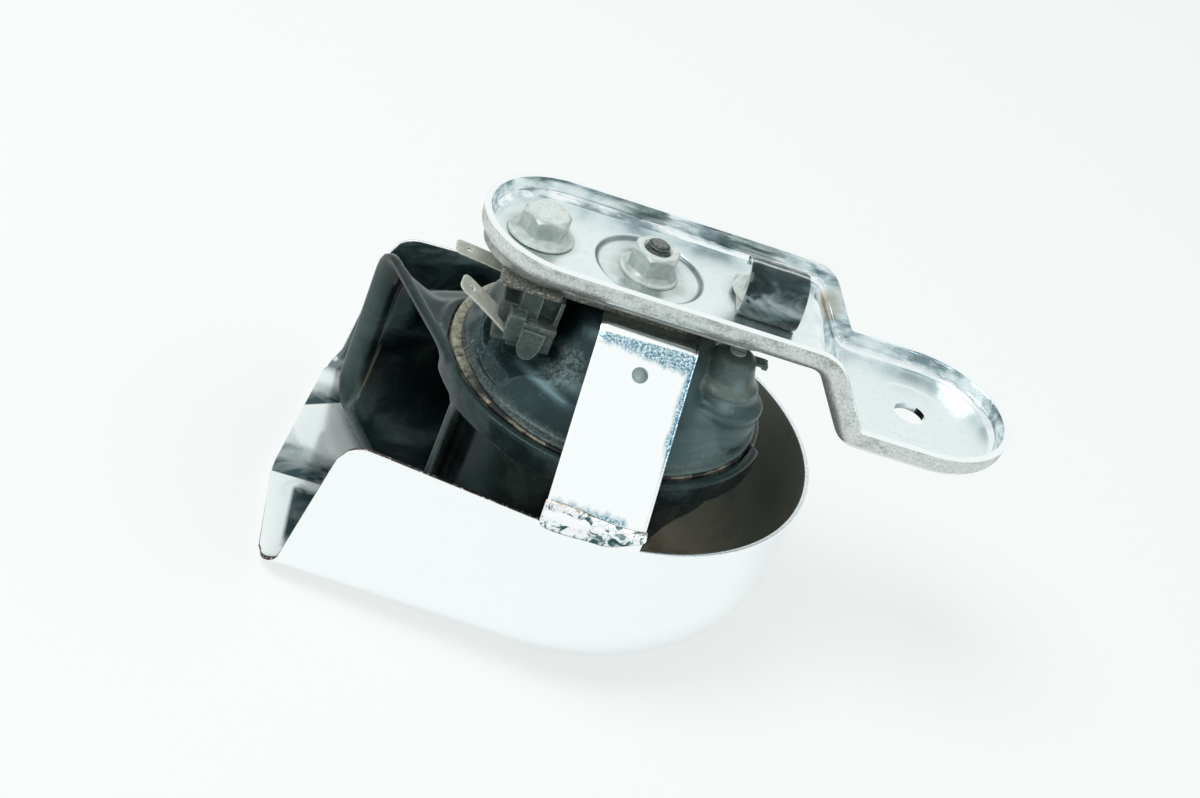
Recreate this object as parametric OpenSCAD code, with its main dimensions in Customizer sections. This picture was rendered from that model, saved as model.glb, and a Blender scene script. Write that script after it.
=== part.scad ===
/* [Bracket] */
// Thickness of the bracket's steel sheet
sheet = 2; // [1.6:0.1:2.4]
// Outer width of the bracket where it carries the horn
bracket_w = 51.5; // [49:0.5:53]
// Distance from the horn's axis to the bracket's round end
bracket_reach = 51; // [50:0.5:53]
// Height of the upturned rim above the bracket's floor
rim_h = 5.8; // [4:0.1:6.2]
// Where the floor starts its step down, from the horn's axis
step_x = 53; // [52:0.5:58]
// How far the ear lies below the floor that carries the horn
step_drop = 20; // [14:0.5:24]
// Angle of the step
step_angle = 55; // [48:1:62]
// Radius of the step's bends, on the floor
bend_r = 7; // [6:0.5:9]
// Distance from the horn's axis to the mounting hole in the ear
ear_x = 89.5; // [88:0.5:94]
// Outer radius of the ear
ear_r = 27.5; // [25:0.5:30]
// Distance of the ear's round end beyond the mounting hole
ear_round_dx = 2; // [0:0.5:4]
// Diameter of the mounting hole
mount_d = 10; // [8:0.1:11]
// Radius of the sunk ring round the centre nut
recess_r = 16.6; // [15:0.1:17.5]
// Depth of the sunk ring
recess_h = 1.1; // [0.6:0.1:1.3]

/* [Backing plates] */
// Thickness of the plate under the bracket
plate_h = 2.5; // [2:0.1:3]
// Width of the plate under the bracket
plate_w = 39; // [34:0.5:42]
// How far the plate reaches on the round end's side
plate_reach_l = 48.5; // [45:0.5:49]
// How far the plate reaches on the ear's side
plate_reach_r = 43; // [42:0.5:46]
// Thickness of the leaf that carries the horn
leaf_h = 2.5; // [2:0.1:3]
// Width of the leaf
leaf_w = 36; // [32:0.5:37]
// How far the leaf reaches on the round end's side
leaf_reach_l = 40; // [38.5:0.5:42]
// How far the leaf reaches on the ear's side
leaf_reach_r = 26; // [24:0.5:26.5]

/* [Fasteners] */
// Diameter of the bolts and of the stud
bolt_d = 8; // [7.8:0.1:8]
// Radial clearance of a bolt in its hole
bolt_play = 0.3; // [0.2:0.05:0.4]
// Width across the flats of bolt heads and nuts
hex_af = 13; // [12:0.5:13]
// Height of a hexagon head
hex_h = 6; // [5:0.5:6.5]
// Diameter of a bolt's flange
flange_d = 20; // [18:0.5:20]
// Thickness of a flange
flange_h = 1.8; // [1.4:0.1:2.2]
// Diameter of the centre nut's flange
nut_flange_d = 17.9; // [16:0.1:19]
// Height of the centre nut above its flange
nut_h = 6.4; // [5.5:0.1:7]
// How far the stud stands out of its nut
stud_out = 1; // [0.5:0.1:2]
// Turn of the hexagon on both bolts
bolt_turn = 12; // [0:1:59]
// Turn of the nut's hexagon
nut_turn = 16; // [0:1:59]
// Distance from the horn's axis to the bolt at the round end
bolt_x = 33; // [32:0.5:34]
// Distance from the horn's axis to the bolt on the ear's side
right_bolt_x = 35; // [34:0.5:35.5]
// How far the bolt on the ear's side sits off the middle line
right_bolt_y = 3; // [2:0.5:3]
// Height of the square nuts on the bolts
plate_nut_h = 4; // [3.5:0.1:4]

/* [Cover] */
// Radius of the cover's round end
cover_r = 65; // [64:0.5:68]
// Thickness of the cover's steel
cover_t = 1.4; // [1.1:0.1:1.6]
// Centre of the cover's round end, from the horn's axis
cover_x = 4.5; // [3:0.5:5]
// Height of the cover, from rim to face
cover_h = 53; // [51:0.5:55]
// Depth of the cover's rim below the bracket's floor
cover_rim_z = 50; // [49:0.5:51]
// Radius between side and face at the mouth
cover_edge_r = 5; // [3:0.5:8]
// Radius between side and face at the round end
cover_round_r = 30; // [24:0.5:32]
// Angle by which each side runs in towards the mouth
cover_taper = 6.8; // [5:0.2:7.4]
// Reach of the cover's face at its middle, from the horn's axis
cover_reach = 83; // [80:0.5:86]
// How far the corners of the face stay behind its middle
cover_bow = 4.5; // [2:0.5:7]
// Lean of the mouth's edges
mouth_lean = 10; // [6:0.5:14]
// Radius of the rim's corners beside the mouth
rim_corner_r = 7; // [4:0.5:9]
// Turn of the cover on the stud
cover_yaw = -2.4; // [-3:0.1:-1.8]

/* [Strap] */
// Width of the strap that carries the cover
strap_w = 29; // [26:0.5:32]
// Thickness of the strap
strap_h = 2; // [1.6:0.1:2]
// Where the strap bends down, from the horn's axis
strap_bend_y = 24.5; // [23:0.5:26]
// How far the strap's tab reaches past the stud
strap_tab = 15; // [13:0.5:18]
// Diameter of the small hole in the strap
strap_hole_d = 4.6; // [3:0.1:6]
// Distance of the small hole from the bend, along the slope
strap_hole_s = 11; // [8:0.5:20]
// Height of the weld bead
bead_r = 2.6; // [2:0.1:3]

/* [Horn body] */
// Thickness of the horn case
case_t = 1; // [0.8:0.1:1.2]
// Radius of the case at its foot
case_r = 45; // [44.6:0.1:45.4]
// Height of the case
case_h = 28; // [27.6:0.1:28.6]
// Radius of the case's flat top
case_top_r = 22; // [21:0.5:23]
// Radius of the case's foot flange
case_flange_r = 46.4; // [46.1:0.1:46.8]
// Thickness of each gasket
gasket_h = 1; // [0.8:0.1:1.2]
// Outer radius of the gaskets
gasket_r = 47.6; // [47.4:0.1:47.7]
// Inner radius of the gaskets
gasket_in_r = 39; // [38:0.5:40]
// Thickness of the diaphragm
diaphragm_h = 0.4; // [0.3:0.05:0.5]
// Radius of the diaphragm
diaphragm_r = 46; // [45:0.1:46.4]

/* [Trumpet] */
// Outer radius of the trumpet's top ring
ring_r = 51; // [50:0.1:52]
// Height of the top ring
ring_h = 8; // [7:0.5:9]
// Wall of the trumpet
trumpet_t = 2.2; // [1.8:0.1:2.6]
// Radius of the trumpet's body on the near side
body_r = 44; // [43:0.5:45]
// How far the spiral grows over its half turn
spiral_growth = 12; // [10:0.5:12.5]
// Height of the trumpet's body under the ring
body_h = 48; // [46:0.5:48.5]
// Radius between the trumpet's side and its bottom
body_edge_r = 11; // [8:0.5:12]
// Distance of the trumpet's mouth from the horn's axis
mouth_u = 50; // [48:0.5:51]
// Turn of the trumpet's mouth towards the near side
mouth_turn = 27; // [25:0.5:29]
// Distance of the mouth's near edge from the axis
mouth_near_v = 5; // [4:0.5:7]
// How far the mouth's lip stands proud of the duct
lip_out = 2.2; // [1.4:0.1:2.4]
// Length of the mouth's lip
lip_l = 3; // [2:0.5:4]
// Radius of the mouth's corners
mouth_corner_r = 9; // [6:0.5:12]
// Radius of the throat under the diaphragm
throat_r = 8; // [7:0.5:9]

/* [Drive] */
// Radius of the pole core
core_r = 9; // [8:0.5:9.5]
// Length of the pole core
core_l = 19.5; // [19:0.5:19.5]
// Outer radius of the coil's bobbin
bobbin_r = 19.5; // [17:0.5:20]
// Outer radius of the winding
winding_r = 18; // [16:0.5:18.5]
// Thickness of the bobbin's flanges
bobbin_t = 1.2; // [1:0.1:1.6]
// Length of the bobbin
bobbin_l = 17; // [15:0.5:17.5]
// Air gap between core and armature at rest
air_gap = 0.8; // [0.8:0.05:1]
// Radius of the armature's disc
armature_r = 16; // [15.6:0.1:16.4]
// Thickness of the armature's disc
armature_h = 3; // [2.5:0.1:3.5]
// Radius of the armature's stem
stem_r = 5; // [4.5:0.5:6]
// Width across the flats of the nut that holds the armature
stem_nut_af = 9; // [8:0.5:10]
// Travel of the armature that the contacts follow
contact_gap = 0.05; // [0.03:0.01:0.08]
// Thickness of the contact leaves
contact_leaf_t = 0.5; // [0.4:0.05:0.6]
// Diameter of the adjusting screw
screw_d = 5; // [4:0.1:6]
// Where the adjusting screw stands along the bracket
boss_x = 30.5; // [30:0.1:31]
// Where the adjusting screw stands on the near side
boss_y = 13.5; // [13:0.1:14]
// Radius of the boss round the adjusting screw
boss_r = 7.2; // [6.8:0.1:7.5]
// Radius of the boss's foot
boss_foot_r = 8.8; // [8.4:0.1:9.2]

/* [Terminals] */
// Width of a spade terminal
spade_w = 6.3; // [6.3:0.1:6.3]
// Thickness of a spade terminal
spade_t = 0.8; // [0.8:0.1:0.8]
// Length of the near terminal's free blade
spade_near_l = 20; // [16:0.5:22]
// Length of the far terminal's free blade
spade_far_l = 15; // [12:0.5:18]
// Diameter of the small hole in a blade
spade_hole_d = 1.6; // [1.2:0.1:2]

/* [Wire clip] */
// Length of the clip along the bracket
clip_l = 17.5; // [15:0.5:19]
// Radius of the clip's lower bend
clip_bend_r = 4.3; // [4:0.1:5]
// Radius of the clip's arch over the bolt
clip_arch_r = 9.2; // [8.8:0.1:9.8]
// Where the clip starts along the bracket
clip_x0 = 26.2; // [25.5:0.1:27]
// Thickness of the clip's steel
clip_t = 1; // [0.8:0.1:1.2]
// Thickness of the clip's vinyl skin
skin_t = 0.7; // [0.5:0.1:0.9]

/* [Hidden] */
$fn = 64;

// Overlap that makes a cut run clear through a face
cut = 1;
// Size of a cutting block that is larger than the whole horn
big = 200;
// Thread fit between two pieces that are screwed together
thread_fit = 0.05;
// Gap between pieces that lie side by side
seat_gap = 0.2;

// Heights below the bracket's floor, which is at 0
z_sheet = -sheet;
z_plate = z_sheet - plate_h;
z_leaf = z_plate - leaf_h;
z_strap = z_leaf - strap_h;
z_case_top = z_strap;
z_case_foot = z_case_top - case_h;
z_flange = z_case_foot - case_t;
z_upper_gasket = z_flange - gasket_h;
z_diaphragm = z_upper_gasket - diaphragm_h;
z_lower_gasket = z_diaphragm - gasket_h;
z_ring_top = z_flange - 0.2;
z_body_top = z_ring_top - ring_h;
z_body_foot = z_body_top - body_h;
z_cover_face = -cover_rim_z - cover_h;
z_case_in = z_case_top - case_t;
z_core_foot = z_case_in - core_l;
z_stud_foot = z_core_foot + 8;
z_armature = z_core_foot - air_gap;
z_armature_foot = z_armature - armature_h;

// Step of the bracket
step_run = step_drop / tan(step_angle);
bracket_cx = -bracket_reach + bracket_w / 2;
ear_cx = ear_x + ear_round_dx;
ear_start = step_x + step_run;
arc_n = 8;

// Frame of the duct: u runs out of the trumpet's mouth, v across it to the far side
u_turn = 180 + mouth_turn;
far_v = body_r + spiral_growth;

// Contact leaves, which run along the near and far direction beside the armature
arm_x0 = armature_r + 5;
arm_x1 = arm_x0 + 6;
stack_l = 6;
stack_corner_r = case_r - 8.9;
arm_pivot_y = sqrt(pow(stack_corner_r, 2) - pow(arm_x1, 2)) - stack_l;
arm_tip_y = -5;
z_arm = z_armature + contact_gap + 0.25;
point_h = 1.1;
z_fixed = z_arm - 2 * point_h - 0.02;
insulator_h = 1;
rivet_r = 1;
z_rivet_top = z_arm + contact_leaf_t + insulator_h + 3;

module horn_frame() {
    translate([-ear_x, 0, step_drop]) children();
}

module cover_frame() {
    horn_frame() rotate([0, 0, cover_yaw]) children();
}

module duct_frame() {
    horn_frame() rotate([0, 0, u_turn]) mirror([0, 1, 0]) children();
}

module rod(r, z0, z1) {
    translate([0, 0, min(z0, z1)]) cylinder(r = r, h = abs(z1 - z0));
}

module tube(r0, r1, z0, z1) {
    difference() {
        rod(r1, z0, z1);
        rod(r0, z0 - cut, z1 + cut);
    }
}

module hexagon(af, z0, z1) {
    translate([0, 0, min(z0, z1)]) cylinder(r = af / sqrt(3), h = abs(z1 - z0), $fn = 6);
}

module block(x0, x1, y0, y1, z0, z1) {
    translate([x0, y0, z0]) cube([x1 - x0, y1 - y0, z1 - z0]);
}

module at(x, y) {
    translate([x, y, 0]) children();
}

// A strip with one round end on each side, seen from above
module stadium(x0, x1, w) {
    translate([x0 + w / 2, 0]) circle(d = w);
    translate([x1 - w / 2, 0]) circle(d = w);
    translate([x0 + w / 2, -w / 2]) square([x1 - x0 - w, w]);
}

// Outline of the bracket, drawn in by an inset
module bracket_plan(inset) {
    half = bracket_w / 2 - inset;
    translate([bracket_cx, 0]) circle(r = half);
    translate([bracket_cx, -half]) square([step_x - bracket_cx, 2 * half]);
    polygon([[step_x - cut, half], [step_x - cut, -half], [ear_start, inset - ear_r],
        [ear_cx + cut, inset - ear_r], [ear_cx + cut, ear_r - inset], [ear_start, ear_r - inset]]);
    translate([ear_cx, 0]) circle(r = ear_r - inset);
}

// Points of one bend of the bracket's side view, at a height above the floor's line
function bend_points(x, z, r, side, h) = [for (i = [0:arc_n])
    let (a = step_angle * (side > 0 ? i : arc_n - i) / arc_n, t = r * tan(step_angle / 2),
        x0 = x + h * tan(step_angle / 2))
    side > 0 ? [x0 - t + r * sin(a), z + h - r * (1 - cos(a))]
        : [x0 + t - r * sin(a), z + h + r * (1 - cos(a))]];

// Side view of the bracket's floor line, raised by a height
function floor_line(h) = concat([[-big, h]], bend_points(step_x, 0, bend_r + h, 1, h),
    bend_points(ear_start, -step_drop, bend_r - h, -1, h), [[big, h - step_drop]]);

function reversed(list) = [for (i = [len(list) - 1:-1:0]) list[i]];

module side_band(low, high) {
    rotate([90, 0, 0]) linear_extrude(height = big, center = true)
        polygon(concat(floor_line(low), reversed(floor_line(high))));
}

module side_above(low) {
    rotate([90, 0, 0]) linear_extrude(height = big, center = true)
        polygon(concat(floor_line(low), [[big, big], [-big, big]]));
}

module bracket() {
    color("gainsboro") horn_frame() difference() {
        intersection() {
            translate([0, 0, -big / 2]) linear_extrude(height = big) bracket_plan(0);
            side_band(-sheet, rim_h);
        }
        intersection() {
            translate([0, 0, -big / 2]) linear_extrude(height = big) bracket_plan(sheet);
            side_above(0);
        }
        rod(recess_r, -recess_h, cut);
        rod(bolt_d / 2 + bolt_play, z_sheet - cut, cut);
        at(-bolt_x, 0) rod(bolt_d / 2 + bolt_play, z_sheet - cut, cut);
        at(right_bolt_x, right_bolt_y) rod(bolt_d / 2 + bolt_play, z_sheet - cut, cut);
        at(ear_x, 0) rod(mount_d / 2, -step_drop - sheet - cut, cut - step_drop);
    }
}

// Far end of the clip's foot beyond its bolt, and the angles where its arch ends and where the
// vinyl starts
clip_tail = 8;
clip_arch_end = 55;
skin_start = 238;

module bolt_holes(z0, z1) {
    rod(bolt_d / 2 + bolt_play, z0 - cut, z1 + cut);
    at(-bolt_x, 0) rod(bolt_d / 2 + bolt_play, z0 - cut, z1 + cut);
    at(right_bolt_x, right_bolt_y) rod(bolt_d / 2 + bolt_play, z0 - cut, z1 + cut);
}

module backing_plate() {
    color("lightslategray") horn_frame() difference() {
        translate([0, 0, z_plate]) linear_extrude(height = plate_h)
            stadium(-plate_reach_l, plate_reach_r + 4, plate_w);
        block(plate_reach_r, plate_reach_r + big, -big, big, z_plate - cut, z_sheet + cut);
        bolt_holes(z_plate, z_sheet);
    }
}

module horn_leaf() {
    color("silver") horn_frame() difference() {
        translate([0, 0, z_leaf]) linear_extrude(height = leaf_h) {
            stadium(-leaf_reach_r, leaf_reach_r, leaf_w);
            translate([-leaf_reach_l, -leaf_w / 2]) square([leaf_reach_l, leaf_w]);
        }
        bolt_holes(z_leaf, z_plate);
    }
}

// Hexagon whose top corners are turned off
module turned_hexagon(af, z0, z1) {
    corner = af / sqrt(3);
    intersection() {
        hexagon(af, z0, z1);
        translate([0, 0, z0]) cylinder(r1 = corner + (z1 - z0) * 2, r2 = af / 2 - 0.3, h = z1 - z0);
    }
}

module flange_bolt(x, y, z_seat, z_tip) {
    z_hex = z_seat + flange_h;
    at(x, y) difference() {
        union() {
            rod(flange_d / 2, z_seat, z_seat + flange_h / 2);
            translate([0, 0, z_seat + flange_h / 2])
                cylinder(r1 = flange_d / 2, r2 = hex_af / 2 + 0.5, h = flange_h / 2);
            rotate([0, 0, bolt_turn]) turned_hexagon(hex_af, z_hex - 0.01, z_hex + hex_h);
            rod(bolt_d / 2, z_tip, z_seat + 0.01);
        }
        translate([0, 0, z_hex + hex_h - 0.8]) cylinder(r1 = hex_af / 2 - 2.6, r2 = hex_af / 2 - 1.6,
            h = 0.81);
    }
}

module flange_bolts() {
    color("lightgray") horn_frame() {
        flange_bolt(-bolt_x, 0, 0, z_leaf - plate_nut_h - 1);
        flange_bolt(right_bolt_x, right_bolt_y, clip_t, z_plate - plate_nut_h - 2);
    }
}

module square_nut(x, y, z_top) {
    at(x, y) difference() {
        block(-hex_af / 2, hex_af / 2, -hex_af / 2, hex_af / 2, z_top - plate_nut_h, z_top);
        rod(bolt_d / 2 + thread_fit, z_top - plate_nut_h - cut, z_top + cut);
    }
}

module plate_nuts() {
    color("slategray") horn_frame() {
        square_nut(-bolt_x, 0, z_leaf);
        square_nut(right_bolt_x, right_bolt_y, z_plate);
    }
}

module centre_nut() {
    z_seat = -recess_h;
    color("lightgray") horn_frame() difference() {
        union() {
            rod(nut_flange_d / 2, z_seat, z_seat + 1);
            translate([0, 0, z_seat + 1])
                cylinder(r1 = nut_flange_d / 2, r2 = hex_af / 2 + 0.4, h = 1);
            rotate([0, 0, nut_turn]) turned_hexagon(hex_af, z_seat + 1.9, z_seat + 2 + nut_h);
        }
        rod(bolt_d / 2 + thread_fit, z_seat - cut, z_seat + nut_h + 3);
    }
}

// Radius between the cover's side and its face at a place along the bracket
function edge_r(x) = cover_edge_r + (cover_round_r - cover_edge_r)
    * max(0, x + cover_reach) / (cover_reach + cover_x + cover_r);

// Places along the cover's side, each with its outward direction: round the end, then straight
// along the two sides to beyond the mouth
side_run = cover_reach + cover_x + 14;
side_steps = 6;
round_steps = 36;
side_angle = 90 + cover_taper;
cover_path = concat(
    [for (i = [side_steps:-1:1]) side_place(-1, side_run * i / side_steps)],
    [for (i = [0:round_steps]) let (a = side_angle * (2 * i / round_steps - 1))
        [cover_x + cover_r * cos(a), cover_r * sin(a), cos(a), sin(a)]],
    [for (i = [1:side_steps]) side_place(1, side_run * i / side_steps)]);

function side_place(side, s) = [cover_x + cover_r * cos(side_angle) - s * sin(side_angle),
    side * (cover_r * sin(side_angle) + s * cos(side_angle)), cos(side_angle),
    side * sin(side_angle)];

// Rings of points along the cover's side: its rim, and the edge that turns into the face
function rim_ring(inset) = [for (p = cover_path)
    [p[0] - inset * p[2], p[1] - inset * p[3], -cover_rim_z]];

function edge_ring(t, a) = [for (p = cover_path)
    let (r = edge_r(p[0]), s = r - (r - t) * cos(a), x = p[0] - s * p[2])
    [x, p[1] - s * p[3], z_cover_face + r - (r - t) * sin(a)]];

// The cover's pressing as one skin: rim, side and edge outside, then edge, side and rim inside
module cover_pressing() {
    edge_steps = 5;
    n = len(cover_path);
    outside = concat([rim_ring(0)], [for (i = [0:edge_steps]) edge_ring(0, 90 * i / edge_steps)]);
    inside = concat([for (i = [edge_steps:-1:0]) edge_ring(cover_t, 90 * i / edge_steps)],
        [rim_ring(cover_t)]);
    rings = concat(outside, inside);
    m = len(rings);
    k = len(outside);
    polyhedron(points = [for (r = rings) for (p = r) p], faces = concat(
        [for (j = [0:m - 1]) if (j != k - 1) for (i = [0:n - 1])
            let (a = j * n + i, b = j * n + (i + 1) % n, c = (j + 1) % m * n + (i + 1) % n)
            [a, b, c]],
        [for (j = [0:m - 1]) if (j != k - 1) for (i = [0:n - 1])
            let (a = j * n + i, c = (j + 1) % m * n + (i + 1) % n, d = (j + 1) % m * n + i)
            [a, c, d]],
        [[for (i = [0:n - 1]) (k - 1) * n + i], [for (i = [n - 1:-1:0]) k * n + i]]));
}

// All that lies behind the mouth: a large round block, leaned like the mouth's edges
module behind_mouth() {
    half_w = cover_r - 8;
    r = (half_w * half_w + cover_bow * cover_bow) / (2 * cover_bow);
    translate([-cover_reach, 0, z_cover_face]) rotate([0, mouth_lean, 0])
        translate([r, 0, -big / 2]) cylinder(r = r, h = big * 1.2, $fn = 128);
}

// Rounds the two corners where the rim meets the mouth
module rim_corner_cut() {
    lean = tan(mouth_lean);
    x_rim = -cover_reach + cover_bow + cover_h * lean;
    r = rim_corner_r;
    back = r * tan((90 - mouth_lean) / 2);
    rotate([90, 0, 0]) linear_extrude(height = big, center = true) difference() {
        polygon([[x_rim - 20, -cover_rim_z + cut], [x_rim + back, -cover_rim_z + cut],
            [x_rim + back, -cover_rim_z - r / 2], [x_rim - back * lean, -cover_rim_z - back],
            [x_rim - 20, -cover_rim_z - back]]);
        translate([x_rim + back, -cover_rim_z - r]) circle(r = r);
    }
}

module cover_shell() {
    color("whitesmoke") cover_frame() difference() {
        intersection() {
            cover_pressing();
            behind_mouth();
        }
        rim_corner_cut();
    }
}

// Side view of the strap, from the stud's tab down to the cover's rim
strap_top_y = -strap_bend_y;
strap_foot_y = -cover_r;
strap_slope = atan2(cover_rim_z - 4 + z_leaf, cover_r - strap_bend_y);

module strap_side() {
    knee_z = 4 - cover_rim_z;
    inner_y = strap_foot_y + strap_h;
    polygon([[strap_tab, z_leaf], [strap_top_y, z_leaf], [strap_foot_y, knee_z],
        [strap_foot_y, -cover_rim_z], [inner_y, -cover_rim_z],
        [inner_y, knee_z + strap_h * tan(45 - strap_slope / 2)],
        [strap_top_y + strap_h * tan(strap_slope / 2), z_strap], [strap_tab, z_strap]]);
}

module cover_strap() {
    color("whitesmoke") cover_frame() difference() {
        translate([cover_x - strap_w / 2, 0, 0]) rotate([90, 0, 90])
            linear_extrude(height = strap_w) strap_side();
        rotate([0, 0, -cover_yaw]) rod(bolt_d / 2 + bolt_play, z_strap - cut, z_leaf + cut);
        translate([cover_x, strap_top_y, z_leaf]) rotate([strap_slope, 0, 0])
            translate([0, -strap_hole_s, 0]) cylinder(d = strap_hole_d, h = 4 * strap_h, center = true);
    }
}

// Runs of weld that lap over each other along the strap's foot
module strap_weld() {
    runs = 9;
    pitch = (strap_w - 2 * bead_r) / (runs - 1);
    color("white") cover_frame() difference() {
        for (i = [0:runs - 1]) translate([cover_x - strap_w / 2 + bead_r + i * pitch,
            -cover_r - 0.1, -cover_rim_z + 3 + 0.7 * sin(i * 130)])
            sphere(r = bead_r + 0.3 * sin(i * 97));
        translate([cover_x - big / 2, 0, 0]) rotate([90, 0, 90]) linear_extrude(height = big)
            polygon([[0, z_leaf], [strap_top_y, z_leaf], [strap_foot_y, -cover_rim_z + 4],
                [strap_foot_y, z_cover_face], [0, z_cover_face]]);
    }
}

// Side view of the clip: a foot, a bend up beside the bolt's flange and an arch back over it,
// moved outwards by a distance
clip_arc_n = 12;
clip_bend_y = right_bolt_y - flange_d / 2;
clip_arch_y = clip_bend_y - clip_bend_r + clip_arch_r;

function clip_bend(a0, out) = [for (i = [0:clip_arc_n]) let (a = a0 + (180 - a0) * i / clip_arc_n)
    [clip_bend_y + (clip_bend_r + out) * cos(a), clip_bend_r + (clip_bend_r + out) * sin(a)]];

function clip_arch(out) = [for (i = [1:clip_arc_n]) let (a = 180 - (180 - clip_arch_end) * i / clip_arc_n)
    [clip_arch_y + (clip_arch_r + out) * cos(a), clip_bend_r + (clip_arch_r + out) * sin(a)]];

function clip_line(a0, out) = concat(clip_bend(a0, out), clip_arch(out));

// A strip of the clip's side view, drawn out along the bracket
module along_clip() {
    translate([clip_x0, 0, 0]) rotate([90, 0, 90]) linear_extrude(height = clip_l) children();
}

module clip_strap() {
    foot_y = right_bolt_y + clip_tail;
    color("dimgray") horn_frame() difference() {
        along_clip() polygon(concat([[foot_y, 0]], clip_line(270, 0), reversed(clip_line(270, -clip_t)),
            [[foot_y, clip_t]]));
        at(right_bolt_x, right_bolt_y) rod(bolt_d / 2 + bolt_play, -cut, clip_t + cut);
    }
}

module clip_skin() {
    color("black") horn_frame() along_clip()
        polygon(concat(clip_line(skin_start, skin_t), reversed(clip_line(skin_start, 0))));
}

// Half section of the horn case, drawn in by a wall
function case_line(t) = [[0, z_case_top - t], [case_top_r, z_case_top - t],
    [case_top_r + 4.6 - t / 2, z_case_top - 3 - t], [case_top_r + 8.6 - t, z_case_top - 7 - t / 2],
    [case_r - 12.4 - t, z_case_top - 13], [case_r - 10.6 - t, z_case_top - 16.6],
    [case_r - 6.6 - t, z_case_top - 19.4 - t / 2], [case_r - 2.6 - t, z_case_top - 22.4 - t / 2],
    [case_r - 0.6 - t, z_case_top - 25.4], [case_r - t, z_case_foot]];

module case_solid(t, z_end) {
    rotate_extrude() polygon(concat(case_line(t), [[case_r - t, z_end], [0, z_end]]));
}

boss_top_z = z_plate - 5;

module boss_solid(t) {
    at(boss_x, -boss_y) {
        rod(boss_r - t, boss_top_z - 1.5 - t, z_case_foot + 6);
        translate([0, 0, boss_top_z - 1.5 - t])
            cylinder(r1 = boss_r - t, r2 = boss_r - 2 - t, h = 1.5);
        rod(boss_foot_r - t, boss_top_z - 9 - t, z_case_foot + 6);
    }
}

module horn_case() {
    color("#2b3132") horn_frame() difference() {
        union() {
            case_solid(0, z_case_foot);
            boss_solid(0);
            rod(case_flange_r, z_case_foot, z_flange);
            block(boss_x + 4, boss_x + 9, -boss_y - 1, -boss_y + 3, boss_top_z - 2.2, boss_top_z - 1);
        }
        case_solid(case_t, z_flange - cut);
        boss_solid(case_t);
        rod(bolt_d / 2 + thread_fit, z_case_in - cut, z_case_top + cut);
        at(boss_x, -boss_y) rod(screw_d / 2 + thread_fit, boss_top_z - 4, boss_top_z + cut);
        terminal_window(seat_gap);
    }
}

module horn_stud() {
    color("gray") horn_frame() rod(bolt_d / 2, z_stud_foot, nut_h + 2 - recess_h + stud_out);
}

module pole_core() {
    color("darkgray") horn_frame() difference() {
        rod(core_r, z_core_foot, z_case_in);
        rod(bolt_d / 2 + thread_fit, z_stud_foot, z_case_in + cut);
    }
}

z_bobbin_top = z_case_in - seat_gap;
z_bobbin_foot = z_bobbin_top - bobbin_l;

module coil_bobbin() {
    in_r = core_r + seat_gap;
    color("tan") horn_frame() {
        tube(in_r, in_r + bobbin_t, z_bobbin_foot, z_bobbin_top);
        tube(in_r, bobbin_r, z_bobbin_foot, z_bobbin_foot + bobbin_t);
        tube(in_r, bobbin_r, z_bobbin_top - bobbin_t, z_bobbin_top);
    }
}

module coil_winding() {
    color("#a8552a") horn_frame() tube(core_r + seat_gap + bobbin_t, winding_r,
        z_bobbin_foot + bobbin_t, z_bobbin_top - bobbin_t);
}

stem_nut_h = 2.6;

module armature() {
    color("gray") horn_frame() {
        rod(armature_r, z_armature_foot, z_armature);
        rod(stem_r, z_upper_gasket, z_armature_foot + 0.01);
        rod(2, z_diaphragm - stem_nut_h - 0.4, z_upper_gasket + 0.01);
    }
}

module armature_nut() {
    color("silver") horn_frame() difference() {
        hexagon(stem_nut_af, z_diaphragm - stem_nut_h, z_diaphragm);
        rod(2 + thread_fit, z_diaphragm - stem_nut_h - cut, z_diaphragm + cut);
    }
}

module diaphragm() {
    color("lightsteelblue") horn_frame() tube(2 + thread_fit, diaphragm_r, z_diaphragm,
        z_upper_gasket);
}

module upper_gasket() {
    color("burlywood") horn_frame() tube(gasket_in_r, gasket_r, z_upper_gasket, z_flange);
}

module lower_gasket() {
    color("burlywood") horn_frame() tube(gasket_in_r, gasket_r, z_lower_gasket, z_diaphragm);
}

// Half section of the trumpet's body: a flat top, a straight side and a rounded foot
module body_section(r, z0, z1, er) {
    translate([0, z0]) square([r - er, z1 - z0]);
    translate([0, z0 + er]) square([r, z1 - z0 - er]);
    translate([r - er, z0 + er]) circle(r = er);
}

// The trumpet's body as a solid, drawn in by a wall: a large half turn behind, a small quarter
// turn on the near side, and the duct, in the duct's frame
module body_solid(t, z0, z1, u_end) {
    back_r = body_r + spiral_growth / 2;
    er = body_edge_r - t;
    translate([0, spiral_growth / 2, 0]) rotate([0, 0, 90]) rotate_extrude(angle = 180)
        body_section(back_r - t, z0 + t, z1, er);
    rotate([0, 0, -90]) rotate_extrude(angle = 90) body_section(body_r - t, z0 + t, z1, er);
    duct_solid(-mouth_near_v + t, far_v - t, z0 + t, z1, u_end, er);
}

module duct_solid(v0, v1, z0, z1, u_end, er) {
    top_r = mouth_corner_r;
    rotate([90, 0, 90]) linear_extrude(height = u_end) union() {
        translate([v0, z0 + er]) square([v1 - v0, z1 - z0 - er - top_r]);
        translate([v0, z0]) square([v1 - v0 - er, z1 - z0 - top_r]);
        translate([v0, z0 + er]) square([v1 - v0 - top_r, z1 - z0 - er]);
        translate([v1 - er, z0 + er]) circle(r = er);
        translate([v1 - top_r, z1 - top_r]) circle(r = top_r);
    }
}

throat_wall = 2;
roof_z = z_lower_gasket - 2.4;
mouth_top_z = z_ring_top - 1.6;

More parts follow.
